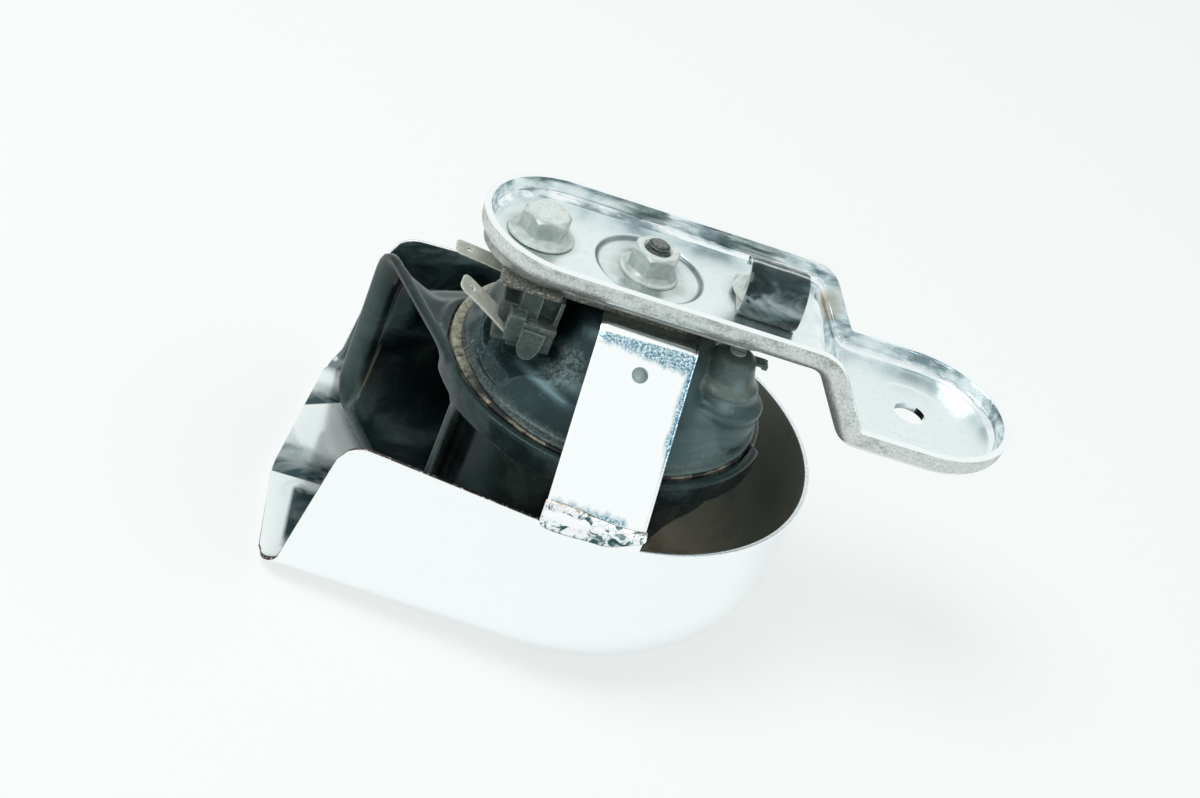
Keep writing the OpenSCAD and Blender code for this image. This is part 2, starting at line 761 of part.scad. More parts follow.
module lid_plan(t) {
    translate([0, spiral_growth / 2]) circle(r = body_r + spiral_growth / 2 - t);
    circle(r = body_r - t);
    translate([0, t - mouth_near_v]) square([mouth_u - 6, far_v + mouth_near_v - 2 * t]);
}

module lip_plan(out) {
    v0 = -mouth_near_v - out;
    v1 = far_v + out;
    z0 = z_body_foot - out;
    z1 = mouth_top_z + out;
    r = mouth_corner_r;
    translate([v0 + r, z0 + r]) circle(r = r);
    translate([v0 + r, z1 - r]) circle(r = r);
    translate([v1 - r, z0 + r]) circle(r = r);
    translate([v1 - r, z1 - r]) circle(r = r);
    translate([v0 + r, z0]) square([v1 - v0 - 2 * r, z1 - z0]);
    translate([v0, z0 + r]) square([v1 - v0, z1 - z0 - 2 * r]);
}

module trumpet_shell() {
    t = trumpet_t;
    color("#22282a") duct_frame() difference() {
        union() {
            body_solid(0, z_body_foot, z_body_top + 1, mouth_u - lip_l);
            rod(ring_r, z_body_top, z_ring_top);
            duct_solid(-mouth_near_v, far_v, z_body_foot, mouth_top_z, mouth_u - lip_l,
                body_edge_r);
            translate([mouth_u - lip_l, 0, 0]) rotate([90, 0, 90]) linear_extrude(height = lip_l)
                lip_plan(lip_out);
        }
        difference() {
            union() {
                body_solid(t, z_body_foot, z_body_top - t + 1, mouth_u + cut);
                duct_solid(t - mouth_near_v, far_v - t, z_body_foot + t, mouth_top_z - t,
                    mouth_u + cut, body_edge_r - t);
            }
            // The wall and the hub that lead the sound from the throat round to the mouth
            block(throat_r, mouth_u - 1, -mouth_near_v - t, -mouth_near_v + t, z_body_foot,
                z_ring_top);
            difference() {
                rod(throat_r + throat_wall, z_body_foot, z_ring_top);
                rod(throat_r, z_body_foot - cut, z_ring_top + cut);
                block(-throat_r, throat_r, -big, 0, z_body_foot - cut, z_body_top - 8);
            }
            rod(ring_r, roof_z - t, z_ring_top + cut);
        }
        rod(gasket_r + seat_gap, z_lower_gasket, z_ring_top + cut);
        rod(gasket_in_r, roof_z, z_ring_top + cut);
        rod(throat_r, z_body_top - t - cut, z_ring_top + cut);
        translate([0, 0, z_body_foot - cut]) linear_extrude(height = t + 2 * cut)
            lid_plan(body_edge_r);
    }
}

module trumpet_lid() {
    color("#262c2e") duct_frame() translate([0, 0, z_body_foot]) linear_extrude(height = trumpet_t)
        lid_plan(body_edge_r + seat_gap);
}

// Terminal block: its low wide part and its shoulder on the round end's side
block_x0 = -36;
block_x1 = -22;
block_y0 = -25;
block_y1 = -10;
block_z = z_case_foot + 11;
shoulder_x0 = block_x0 - 2.5;
shoulder_y1 = 4;

// Room in the case for the terminal block
module terminal_window(g) {
    block(block_x0 + 1 - g, block_x1 - 1 + g, block_y0 + 2 - g, block_y1 - 2 + g, z_case_foot + 6,
        z_case_in + 0.1);
}

module terminal_block() {
    color("#30383a") horn_frame() difference() {
        union() {
            block(block_x0, block_x1, block_y0, block_y1, block_z, z_leaf - 2);
            block(shoulder_x0, block_x0 + 3, block_y0 + 4, shoulder_y1, block_z, z_leaf - 6);
        }
        case_solid(0, z_case_foot);
        at(block_x1 - 6, block_y0 + 6) rod(3, z_leaf - 6, z_leaf);
        near_blade();
        far_blade();
    }
}

module blade(l, hole_s) {
    difference() {
        translate([0, -spade_w / 2, 0]) linear_extrude(height = spade_t) polygon([[0, 0], [l - 2, 0],
            [l, 1.6], [l, spade_w - 1.6], [l - 2, spade_w], [0, spade_w]]);
        translate([hole_s, 0, -cut]) cylinder(d = spade_hole_d, h = 3);
    }
}

// The two blades where they stand in the block
module near_blade() {
    translate([shoulder_x0 + 1, -18, -20]) rotate([0, -32, 180]) blade(spade_near_l, spade_near_l - 4);
}

module far_blade() {
    translate([shoulder_x0 + 0.2, 0, -15.2]) rotate([0, -14, 172]) blade(spade_far_l, spade_far_l - 4);
}

module near_terminal() {
    color("darkkhaki") horn_frame() near_blade();
}

module far_terminal() {
    color("darkkhaki") horn_frame() far_blade();
}

module contact_stack(z0, z1) {
    block(arm_x0, arm_x1, arm_pivot_y, arm_pivot_y + stack_l, z0, z1);
}

module in_stack() {
    at((arm_x0 + arm_x1) / 2, arm_pivot_y + stack_l / 2) children();
}

module rivet_hole() {
    in_stack() rod(rivet_r + thread_fit, z_fixed - 2, z_rivet_top);
}

module contact_bracket() {
    color("gray") horn_frame() difference() {
        intersection() {
            contact_stack(z_arm + contact_leaf_t + insulator_h, z_case_in);
            case_solid(case_t + thread_fit, z_case_foot);
        }
        rivet_hole();
    }
}

module contact_insulators() {
    color("sienna") horn_frame() difference() {
        union() {
            contact_stack(z_arm + contact_leaf_t, z_arm + contact_leaf_t + insulator_h);
            contact_stack(z_fixed, z_arm);
        }
        rivet_hole();
    }
}

module contact_rivet() {
    color("goldenrod") horn_frame() in_stack() {
        rod(rivet_r, z_fixed - contact_leaf_t, z_rivet_top);
        rod(rivet_r + 0.8, z_fixed - contact_leaf_t - 0.8, z_fixed - contact_leaf_t);
    }
}

// Root of the moving contact's leaf, held in the stack; the arm bends at its edge
module moving_leaf_root() {
    color("goldenrod") horn_frame() difference() {
        contact_stack(z_arm, z_arm + contact_leaf_t);
        rivet_hole();
    }
}

module moving_contact_arm() {
    color("goldenrod") horn_frame() {
        block(arm_x0, arm_x1, arm_tip_y, arm_pivot_y - thread_fit, z_arm, z_arm + contact_leaf_t);
        block(armature_r - 3, arm_x0 + 0.01, -3, 3, z_arm, z_arm + contact_leaf_t);
        at(armature_r - 1.6, 0) rod(1.2, z_armature + contact_gap, z_arm + 0.01);
    }
}

module moving_contact_point() {
    color("silver") horn_frame() at((arm_x0 + arm_x1) / 2, 0) rod(2, z_arm - point_h, z_arm);
}

module fixed_contact_leaf() {
    color("goldenrod") horn_frame() difference() {
        union() {
            block(arm_x0, arm_x1, -boss_y - 4, arm_pivot_y + stack_l, z_fixed - contact_leaf_t,
                z_fixed);
            block(arm_x1 - 0.01, boss_x + 3, -boss_y - 4, -boss_y + 4, z_fixed - contact_leaf_t,
                z_fixed);
        }
        rivet_hole();
    }
}

module fixed_contact_point() {
    color("silver") horn_frame() at((arm_x0 + arm_x1) / 2, 0) rod(2, z_fixed, z_fixed + point_h);
}

module adjusting_screw() {
    color("gray") horn_frame() at(boss_x, -boss_y) difference() {
        rod(screw_d / 2, z_fixed + 0.1, boss_top_z + 0.6);
        block(-big, big, -0.5, 0.5, boss_top_z - 0.8, boss_top_z + cut);
    }
}

bracket();
backing_plate();
horn_leaf();
flange_bolts();
plate_nuts();
centre_nut();
cover_shell();
cover_strap();
strap_weld();
clip_strap();
clip_skin();
horn_case();
horn_stud();
pole_core();
coil_bobbin();
coil_winding();
armature();
armature_nut();
diaphragm();
upper_gasket();
lower_gasket();
trumpet_shell();
trumpet_lid();
terminal_block();
near_terminal();
far_terminal();
contact_bracket();
contact_insulators();
contact_rivet();
moving_leaf_root();
moving_contact_arm();
moving_contact_point();
fixed_contact_leaf();
fixed_contact_point();
adjusting_screw();
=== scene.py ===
import bpy, bmesh, math
from mathutils import Vector, Matrix, noise


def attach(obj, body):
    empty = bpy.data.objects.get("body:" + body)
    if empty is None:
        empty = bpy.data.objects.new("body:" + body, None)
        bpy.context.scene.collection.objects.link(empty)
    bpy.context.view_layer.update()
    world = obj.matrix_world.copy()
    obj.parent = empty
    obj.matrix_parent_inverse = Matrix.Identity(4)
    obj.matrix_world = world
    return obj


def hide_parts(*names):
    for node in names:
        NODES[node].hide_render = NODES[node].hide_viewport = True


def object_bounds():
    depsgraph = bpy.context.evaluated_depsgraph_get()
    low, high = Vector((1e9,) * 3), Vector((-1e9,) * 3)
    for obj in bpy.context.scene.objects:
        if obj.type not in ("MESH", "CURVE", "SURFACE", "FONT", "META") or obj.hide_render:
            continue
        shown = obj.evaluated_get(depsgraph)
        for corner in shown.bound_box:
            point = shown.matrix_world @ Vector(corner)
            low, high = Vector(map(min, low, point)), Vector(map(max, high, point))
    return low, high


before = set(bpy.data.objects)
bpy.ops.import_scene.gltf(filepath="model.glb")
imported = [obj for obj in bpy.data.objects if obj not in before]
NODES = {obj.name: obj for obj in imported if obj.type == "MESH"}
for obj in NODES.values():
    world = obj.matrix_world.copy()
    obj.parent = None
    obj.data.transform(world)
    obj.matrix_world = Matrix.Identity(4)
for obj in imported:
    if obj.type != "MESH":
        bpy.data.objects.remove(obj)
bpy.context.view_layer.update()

# Sizes in mm in the horn's frame: origin on the bracket's floor at the horn's axis
EAR_X, DROP = 89.5, 20
ROUND_BOLT, EAR_BOLT = (-33, 0), (35, 3)
BOSS = (30.5, -13.5)
X, Y, Z = (1, 0, 0), (0, 1, 0), (0, 0, 1)


def place(p):
    """A point of the horn's frame, in mm, as metres in the shared frame."""
    return ((p[0] - EAR_X) / 1000, p[1] / 1000, (p[2] + DROP) / 1000)


def lerp(a, b, t):
    return a + (b - a) * t


def clamp(v, lo=0, hi=1):
    return max(lo, min(hi, v))


def smooth(t):
    t = clamp(t)
    return t * t * (3 - 2 * t)


# Materials: short ways to build node trees
class Nodes:
    def __init__(self, tree):
        self.tree = tree

    def add(self, kind, inputs, out=0, **settings):
        """Adds a node with its settings, and numbers or other nodes' outputs as inputs; gives an output."""
        n = self.tree.nodes.new(kind)
        for key, value in settings.items():
            setattr(n, key, value)
        for key, value in inputs.items():
            if isinstance(value, bpy.types.NodeSocket):
                self.tree.links.new(value, n.inputs[key])
            else:
                n.inputs[key].default_value = value
        return n if out is None else n.outputs[out]

    def ramp(self, fac, *stops):
        """A colour ramp whose stops are place, red, green and blue."""
        out = self.add("ShaderNodeValToRGB", {"Fac": fac}, "Color")
        elements = out.node.color_ramp.elements
        while len(elements) < len(stops):
            elements.new(0.5)
        for e, (pos, *color) in zip(elements, stops):
            e.position = pos
            e.color = (*color, 1)
        return out

    def band(self, fac, lo, hi, to_lo=0, to_hi=1, **settings):
        """Runs from to_lo where the factor is lo to to_hi where it is hi."""
        return self.add("ShaderNodeMapRange", {"Value": fac, "From Min": lo, "From Max": hi,
                                               "To Min": to_lo, "To Max": to_hi}, **settings)

    def math(self, op, values, clamp=True):
        """Joins values by one operation, held between 0 and 1 unless clamp is off."""
        out = values[0]
        for v in values[1:]:
            out = self.add("ShaderNodeMath", {0: out, 1: v}, operation=op, use_clamp=clamp)
        return out

    def times(self, *values):
        return self.math("MULTIPLY", values)

    def most(self, *values):
        return self.math("MAXIMUM", values)

    def plus(self, *values, clamp=True):
        return self.math("ADD", values, clamp)

    def vector(self, op, a, b=(0, 0, 0), out="Vector"):
        return self.add("ShaderNodeVectorMath", {0: a, 1: b}, out, operation=op)


def rgba(v):
    return (*v, 1) if isinstance(v, tuple) else v


class Mat(Nodes):
    def __init__(self, name, color, metallic=0, rough=0.5, specular=0.5, cast=(1, 1, 1)):
        self.m = bpy.data.materials.new(name)
        self.m.use_nodes = True
        super().__init__(self.m.node_tree)
        self.tree.nodes.clear()
        self.spot = self.add("ShaderNodeTexCoord", {}, "Object")
        self.b = self.add("ShaderNodeBsdfPrincipled", {
            "Base Color": rgba(color), "Metallic": metallic, "Roughness": rough,
            "Specular IOR Level": specular, "Specular Tint": rgba(cast)}, None)
        self.out = self.add("ShaderNodeOutputMaterial", {"Surface": self.b.outputs[0]}, None)

    def noise(self, scale, detail, rough=0.55, stretch=(1, 1, 1), offset=0, distortion=0):
        at = self.add("ShaderNodeMapping", {"Vector": self.spot, "Scale": stretch,
                                            "Location": (offset, offset * 0.7, offset * 0.3)})
        return self.add("ShaderNodeTexNoise", {"Vector": at, "Scale": scale, "Detail": detail,
                                               "Roughness": rough, "Distortion": distortion}, "Fac")

    def mix(self, fac, a, b):
        return self.add("ShaderNodeMix", {0: fac, 6: rgba(a), 7: rgba(b)}, 2, data_type="RGBA")

    def over(self, under, color, *factors):
        """Lays a colour over another, as strongly as the product of the factors."""
        return self.mix(self.times(*factors), under, color)

    def facing_up(self):
        return self.add("ShaderNodeSeparateXYZ", {0: self.add("ShaderNodeTexCoord", {}, "Normal")}, "Z")

    def plane(self, way, at=(0, 0, 0)):
        """Distance in mm along a direction from a point of the horn's frame."""
        d = self.vector("DOT_PRODUCT", self.spot, [1000 * k for k in way], "Value")
        return self.plus(d, -1000 * sum(k * c for k, c in zip(way, place(at))), clamp=False)

    def span(self, way, lo, hi):
        """Runs from 0 to 1 between two distances along a direction."""
        return self.band(self.plane(way), lo, hi)

    def near(self, p, inner, outer, squash=(1, 1, 1)):
        """1 within the inner distance in mm of a point of the horn's frame, falling to 0 at the outer."""
        d = self.vector("SUBTRACT", self.spot, place(p))
        d = self.vector("MULTIPLY", d, [1000 * k for k in squash])
        return self.band(self.vector("LENGTH", d, out="Value"), outer, inner)

    def disc(self, x, y, inner, outer):
        """The same about an upright axis."""
        return self.near((x, y, 0), inner, outer, (1, 1, 0))

    def edge(self, radius, lo=0.84, hi=0.985):
        """How near a sharp edge the surface is: 1 on the edge."""
        soft = self.add("ShaderNodeBevel", {"Radius": radius}, samples=4)
        plain = self.add("ShaderNodeNewGeometry", {}, "Normal")
        return self.band(self.vector("DOT_PRODUCT", soft, plain, "Value"), hi, lo)

    def feed(self, name, value):
        self.tree.links.new(value, self.b.inputs[name])

    def done(self, color, rough, *bumps):
        """Feeds the shader; each bump is an output, its strength and its height in metres."""
        if color is not None:
            self.feed("Base Color", color)
        if rough is not None:
            self.feed("Roughness", rough)
        normal = {}
        for height, strength, distance in bumps:
            normal["Normal"] = self.add("ShaderNodeBump", {"Height": height, "Strength": strength,
                                                           "Distance": distance, **normal})
        self.feed("Normal", normal["Normal"])
        return self.m


def chrome(name, tint, base):
    m = Mat(name, tint, metallic=1, rough=base)
    wide = m.band(m.noise(35, 3, offset=0.3), 0.35, 0.75, base, base + 0.05)
    fine = m.band(m.noise(900, 3, stretch=(1, 0.25, 1), offset=1.3), 0.55, 0.8, 0, 0.04)
    return m.done(None, m.plus(wide, fine), (m.noise(60, 2), 0.05, 0.0004))


def tray_chrome():
    """The tray's side of the bracket: satin on the flat floor, mirror-bright up the walls; the walls' dark
    and pale streaks are painted reflections and the sunk ring's wall has painted shade.
    """
    m = Mat("tray_chrome", (0.8, 0.87, 0.87), metallic=1, rough=0.1)
    up = m.facing_up()
    flat = m.most(m.band(up, 0.95, 0.995), m.disc(0, 0, 17.2, 17.8))
    speck = m.noise(1500, 5, 0.75)
    blot = m.noise(90, 5, 0.62, offset=3)
    floor = m.ramp(m.noise(420, 5, 0.7, offset=1),
                   (0.3, 0.75, 0.825, 0.825), (0.45, 0.8, 0.875, 0.87), (0.7, 0.84, 0.905, 0.9))
    floor = m.over(floor, (0.5, 0.57, 0.56), m.disc(0, 0, 15.4, 17), m.band(blot, 0.36, 0.62, 0.1, 0.5))
    # Painted shade on the sunk ring's wall
    ring_wall_shade = m.times(m.disc(0, 0, 16.2, 16.8), m.band(m.disc(0, 0, 14.8, 15.6), 1, 0))
    floor = m.over(floor, (0.1, 0.14, 0.15), ring_wall_shade, m.band(blot, 0.3, 0.6, 0.7, 0.95))
    floor = m.over(floor, (0.34, 0.38, 0.36), m.disc(0, 0, 9, 13), m.band(blot, 0.35, 0.62, 0.25, 0.85))
    bolts = m.most(m.disc(-33, 0, 9, 12.5), m.disc(35, 2, 10, 14))
    floor = m.over(floor, (0.36, 0.4, 0.38), bolts, m.band(blot, 0.35, 0.65, 0.2, 0.7))
    floor = m.over(floor, (0.3, 0.34, 0.34), m.band(speck, 0.66, 0.72), 0.22)
    # Painted reflections: dark teal and pale streaks up the walls
    wall = m.ramp(m.noise(160, 4, 0.6, stretch=(0.35, 1, 1)), (0.38, 0.26, 0.33, 0.36),
                  (0.47, 0.66, 0.74, 0.76), (0.54, 0.9, 0.94, 0.95), (0.8, 0.95, 0.98, 0.98))
    wall = m.over(wall, (0.84, 0.9, 0.91), m.band(up, 0.35, 0.55), m.span(X, 48, 51), 0.78)
    rust = m.times(m.near((58.5, 24, -7.5), 2, 7.5, (1, 0.6, 1)), m.band(blot, 0.3, 0.6, 0.45, 1))
    wall = m.over(wall, (0.36, 0.27, 0.17), rust, 0.8)
    rough = m.plus(m.band(flat, 0, 1, 0.06, 0.27), m.band(speck, 0.4, 0.75, 0, 0.1))
    return m.done(m.mix(flat, wall, floor), rough, (m.noise(45, 2), 0.06, 0.0005), (speck, 0.1, 0.00006))


def worn_plate():
    """The bracket's outside: plating rubbed to a speckled grey and tan, bright on the rolled lower edge."""
    m = Mat("worn_plate", (0.6, 0.62, 0.58), metallic=0.75, rough=0.4)
    low = m.band(m.facing_up(), -0.42, -0.62)
    fine = m.noise(1300, 6, 0.75)
    mid = m.noise(150, 6, 0.68, stretch=(0.6, 1, 1), offset=5)
    clean = m.ramp(fine, (0.33, 0.5, 0.54, 0.52), (0.52, 0.72, 0.77, 0.75), (0.72, 0.92, 0.95, 0.94))
    grime = m.ramp(fine, (0.36, 0.075, 0.08, 0.066), (0.5, 0.29, 0.305, 0.265), (0.66, 0.72, 0.76, 0.72))
    face = m.mix(m.band(mid, 0.48, 0.66, 0.1, 0.85), clean, grime)
    rough = m.plus(m.band(low, 0, 1, 0.34, 0.06), m.band(fine, 0.4, 0.7, 0, 0.16))
    return m.done(m.mix(low, face, (0.86, 0.9, 0.91)), rough, (fine, 0.35, 0.00012), (mid, 0.1, 0.0004))


def strap_chrome():
    """Mirror-bright strap: grey-blue specks bloom under its fold, down its right edge and at its foot."""
    m = Mat("strap_chrome", (0.96, 0.98, 0.985), metallic=1, rough=0.05)
    speck = m.noise(1500, 5, 0.78, offset=2)
    smear_and_glint = m.noise(260, 4, 0.65, stretch=(1.6, 0.5, 0.5), offset=7)
    down = (0.03, 1, 0)
    fold = m.span((0.1, 1, 0), -31.2, -27)
    side = m.times(m.span((1, -0.042, 0), 14.2, 18.4), m.span(Y, -60, -44))
    foot = m.times(m.span(down, -58, -62.5), m.span(X, 15, 9), m.span(down, -63.4, -62.7), 0.8)
    haze = m.times(m.most(fold, side, foot), m.span(Y, -25, -25.8))
    tab = m.span(Y, -23.6, -23)
    fac = m.band(m.plus(m.times(haze, 0.42), m.times(m.mix(0.5, speck, smear_and_glint), 0.5)), 0.46, 0.56)
    bloom = m.ramp(speck, (0.34, 0.018, 0.055, 0.11), (0.45, 0.13, 0.26, 0.35), (0.54, 0.58, 0.77, 0.82),
                   (0.68, 0.98, 1, 1))
    c = m.mix(fac, (0.97, 0.985, 0.99), bloom)
    # Painted highlight: a near-white line along the fold's bend
    c = m.over(c, (0.98, 0.99, 0.99), m.span(Y, -25.9, -25.5), m.span(Y, -23, -23.4))
    # The tab under the bracket: dull speckled grey, partly its own finish, partly painted shade
    dull = m.ramp(speck, (0.32, 0.2, 0.24, 0.235), (0.5, 0.42, 0.48, 0.465), (0.7, 0.66, 0.73, 0.71))
    rough = m.plus(m.band(fac, 0, 1, 0.04, 0.22), m.band(tab, 0, 1, 0, 0.25))
    return m.done(m.mix(tab, c, dull), rough, (m.noise(50, 2), 0.05, 0.0004), (speck, 0.08, 0.00005))


def weld_chrome():
    """Plated over rough weld: painted reflections, bright on the ridges and dark in the hollows, painted
    shade on the faces that turn down, and a tan bloom on the upper line.
    """
    m = Mat("weld_chrome", (0.9, 0.92, 0.92), metallic=1, rough=0.1)
    lump = m.noise(260, 4, 0.6, offset=4, distortion=1.2)
    fine = m.noise(900, 4, 0.7)
    # Painted reflections: dark in the hollows, bright on the ridges
    c = m.ramp(lump, (0.37, 0.04, 0.085, 0.095), (0.44, 0.2, 0.29, 0.31), (0.49, 0.9, 0.95, 0.95),
               (0.66, 0.98, 0.98, 0.98), (0.72, 0.35, 0.38, 0.4))
    c = m.over(c, (0.62, 0.5, 0.36), m.span((0.02, 0.5, 1), -75.8, -74.6), m.band(fine, 0.35, 0.55), 0.8)
    # Painted shade on the faces that turn down
    under = m.band(m.facing_up(), 0, -0.4)
    c = m.over(c, (0.035, 0.085, 0.095), under, m.band(lump, 0.3, 0.5, 0.9, 0.45))
    return m.done(c, m.band(fine, 0.3, 0.7, 0.06, 0.25), (lump, 0.6, 0.001), (fine, 0.25, 0.0002))


def rim_edge():
    """Bright raw edge, with brown specks where the near side's plating has lifted."""
    m = Mat("cover_rim_edge", (0.9, 0.9, 0.9), metallic=0.9, rough=0.25)
    n = m.noise(900, 5, 0.75)
    clean = m.ramp(n, (0.35, 0.6, 0.66, 0.68), (0.6, 0.92, 0.95, 0.96))
    c = m.over(clean, (0.055, 0.042, 0.032), m.band(n, 0.34, 0.46), m.span(X, 2, -14),
               m.span(Y, -20, -40))
    return m.done(c, m.band(n, 0.3, 0.7, 0.35, 0.15), (n, 0.3, 0.0001))


def cover_inside():
    """Bare inside: brown film over steel, with painted dark reflections on the far side towards the mouth and
    painted bright reflections by the mouth on the face.
    """
    m = Mat("cover_inside", (0.12, 0.1, 0.08), rough=0.55, specular=0.3, cast=(0.7, 0.95, 0.95))
    fine = m.noise(1400, 4, 0.7)
    film = m.ramp(m.noise(55, 5, 0.62), (0.34, 0.36, 0.31, 0.25), (0.5, 0.62, 0.54, 0.43),
                  (0.66, 0.5, 0.46, 0.37))
    film = m.over(film, (0.17, 0.235, 0.215), m.span((1, 0.35, 0), 46, 76), 0.9)
    # Painted reflections: blackish smoke on the far side towards the mouth
    smoke = m.noise(70, 5, 0.65, stretch=(0.6, 1, 1), offset=8, distortion=0.6)
    dark = m.ramp(smoke, (0.4, 0.006, 0.012, 0.013), (0.52, 0.034, 0.058, 0.06), (0.66, 0.15, 0.21, 0.22))
    film = m.over(film, dark, m.span(Y, 10, 30), m.span(X, -10, -30))
    # Painted reflections: bright and mottled by the mouth on the face
    mouth = m.times(m.span(X, -48, -57), m.span(Z, -78, -92))
    blot = m.noise(30, 4, 0.6, offset=1.7, distortion=0.8)
    bright = m.ramp(blot, (0.3, 0.24, 0.31, 0.32), (0.4, 0.6, 0.66, 0.64), (0.5, 0.86, 0.92, 0.92),
                    (0.72, 0.93, 0.97, 0.97))
    # Dark bands painted as the face mirrors them, crisp on one side and swaying on the other
    sway = m.band(m.noise(160, 3, offset=3), 0.3, 0.7, 0, 3)
    far, near = m.plane((-0.6, 1, 0)), m.plane(Y)
    far_soft, soft = m.plus(far, sway, clamp=False), m.plus(near, sway, clamp=False)
    bands = m.most(m.times(m.band(far, 75.6, 76.1), m.band(far_soft, 90, 80)),
                   m.times(m.band(soft, 50, 54), 0.8),
                   m.times(m.band(near, -9.3, -8.9), m.band(soft, 8.5, 0)))
    wedge = m.times(m.span((1, 0.02, 0), -77.6, -76.4), m.band(soft, -10, -13), m.band(soft, -42, -36))
    bands = m.most(m.times(bands, m.band(blot, 0.34, 0.52, 0.3, 1)),
                   m.times(wedge, m.band(blot, 0.3, 0.5, 0.6, 1)))
    bright = m.mix(bands, bright, (0.03, 0.06, 0.068))
    m.feed("Metallic", m.band(mouth, 0.2, 0.8, 0.15, 0.5))
    rough = m.math("SUBTRACT", (m.band(fine, 0.3, 0.7, 0.5, 0.62), m.band(mouth, 0, 1, 0, 0.42)))
    return m.done(m.mix(mouth, film, bright), rough, (fine, 0.12, 0.00008))


def plated():
    m = Mat("pitted_plate", (0.4, 0.43, 0.41), metallic=0.7, rough=0.5)
    c = m.ramp(m.noise(160, 6, 0.7), (0.3, 0.12, 0.13, 0.12), (0.5, 0.36, 0.39, 0.37), (0.8, 0.6, 0.62, 0.6))
    return m.done(c, None, (m.noise(900, 4, 0.6), 0.4, 0.0002))


def case_paint():
    """Black paint gone slate and satin, dusty and scuffed, with painted shade in the hollows and painted
    highlights on the crest and in small spots.
    """
    m = Mat("case_paint", (0.04, 0.06, 0.06), rough=0.3, specular=0.35, cast=(0.62, 0.95, 0.97))
    n = m.noise(48, 5, 0.62, offset=2)
    dust = m.noise(900, 6, 0.78)
    scuff = m.noise(420, 4, 0.7, stretch=(1, 1, 0.3), offset=6)
    c = m.ramp(n, (0.3, 0.007, 0.014, 0.016), (0.5, 0.016, 0.031, 0.034), (0.72, 0.032, 0.056, 0.06))
    grey = m.times(m.band(n, 0.5, 0.72), m.band(dust, 0.5, 0.7))
    c = m.over(c, (0.16, 0.2, 0.2), grey, 0.55)
    c = m.over(c, (0.14, 0.19, 0.2), m.near((-39, -14, -32), 6, 14), m.band(dust, 0.5, 0.66), 0.6)
    c = m.over(c, (0.22, 0.27, 0.26), m.near((-17, -27, -23.5), 4.5, 9.5), m.band(dust, 0.44, 0.64), 0.8)
    # Painted highlight along the crest that runs from under the terminals down to the right, and on round the
    # shoulder
    off = m.plane((-0.363, -0.4155, -0.835), (-22.2, -31.9, -27.1))
    off = m.add("ShaderNodeMath", {0: off}, operation="ABSOLUTE")
    run = m.plane((0.918, -0.314, -0.244), (-30.8, -19.1, -30.5))
    crest = m.times(m.band(off, 1.9, 0), m.band(run, -4, 6), m.band(run, 26, 17),
                    m.near((-21, -29, -28.5), 11, 15))
    c = m.over(c, (0.13, 0.21, 0.23), crest, m.band(n, 0.25, 0.6, 0.55, 0.85))
    c = m.over(c, (0.22, 0.225, 0.195), m.span(Z, -34.5, -36.6), m.band(dust, 0.42, 0.62), 0.5)
    # Boss: slate round it, dusty tan on top and on its ridge
    c = m.over(c, (0.105, 0.165, 0.163), m.span(X, 10, 24), m.band(n, 0.3, 0.66, 0.35, 0.85))
    top = m.times(m.near((*BOSS, -11), 7, 13), m.band(dust, 0.3, 0.6, 0.25, 1))
    c = m.over(c, (0.165, 0.195, 0.17), top, 0.62)
    ridge = m.times(m.near((*BOSS, -19.4), 10.5, 12, (1, 1, 2.6)), m.band(dust, 0.32, 0.6, 0.4, 1))
    c = m.over(c, (0.24, 0.275, 0.24), ridge, m.band(m.disc(*BOSS, 6.5, 8.5), 1, 0), 0.6)
    c = m.over(c, (0.42, 0.49, 0.5), m.band(scuff, 0.69, 0.73), 0.75)
    # Painted highlights: small soft pale spots on the boss's side
    for spot, size, strength in (((31.3, -23.3, -22), 3.4, 0.65), ((33.2, -20.9, -15.8), 3, 0.5),
                                 ((26, -27.5, -24.5), 3.4, 0.45)):
        c = m.over(c, (0.24, 0.33, 0.35), m.near(spot, 0.4, size), strength)
    lines = m.times(m.band(m.noise(330, 2, stretch=(0.12, 0.12, 1.6)), 0.52, 0.64),
                    m.span(Z, -27, -29.5), m.span(X, 12, 20))
    c = m.over(c, (0.16, 0.21, 0.21), lines, 0.35)
    # Light that falls through the strap's hole
    c = m.over(c, (0.72, 0.92, 0.89), m.near((4.2, -29.7, -17), 2.6, 4.2), 0.85)
    # Painted shade: black in the hollow round the right and the foot of the terminal block, with its sheen
    # taken away too
    hollow_shade = m.most(m.near((-18.6, -17, -14), 3.2, 8, (1, 0.8, 0.8)), m.near((-21.5, -23.5, -22), 2, 5.5))
    c = m.over(c, (0.003, 0.006, 0.007), hollow_shade, 0.92)
    m.feed("Specular IOR Level", m.times(m.band(hollow_shade, 1, 0), 0.35))
    rough = m.plus(m.band(n, 0.3, 0.7, 0.22, 0.36), m.times(grey, 0.2))
    return m.done(c, rough, (m.noise(120, 3, 0.5), 0.08, 0.0006), (dust, 0.14, 0.00008))


def moulding(name, dark, light, rough, scale=60, edge_wear_and_highlight=None):
    """A mottled, stippled skin; edge_wear_and_highlight is the colour of its lightened edges, their reach and
    their strength: partly rubbed wear, partly painted highlight.
    """
    m = Mat(name, dark, rough=rough, cast=(0.75, 0.98, 0.97))
    n = m.noise(scale, 5, 0.62)
    f = m.noise(1200, 4, 0.6)
    c = m.over(dark, light, m.band(n, 0.42, 0.72), m.band(f, 0.3, 0.75))
    if edge_wear_and_highlight:
        # Edges lightened: partly rubbed wear, partly painted highlight
        c = m.over(c, edge_wear_and_highlight[0], m.edge(edge_wear_and_highlight[1]), m.band(f, 0.36, 0.56, 0.35, 1), edge_wear_and_highlight[2])
    return m.done(c, m.band(n, 0.3, 0.75, rough - 0.05, rough + 0.15), (f, 0.2, 0.00012))


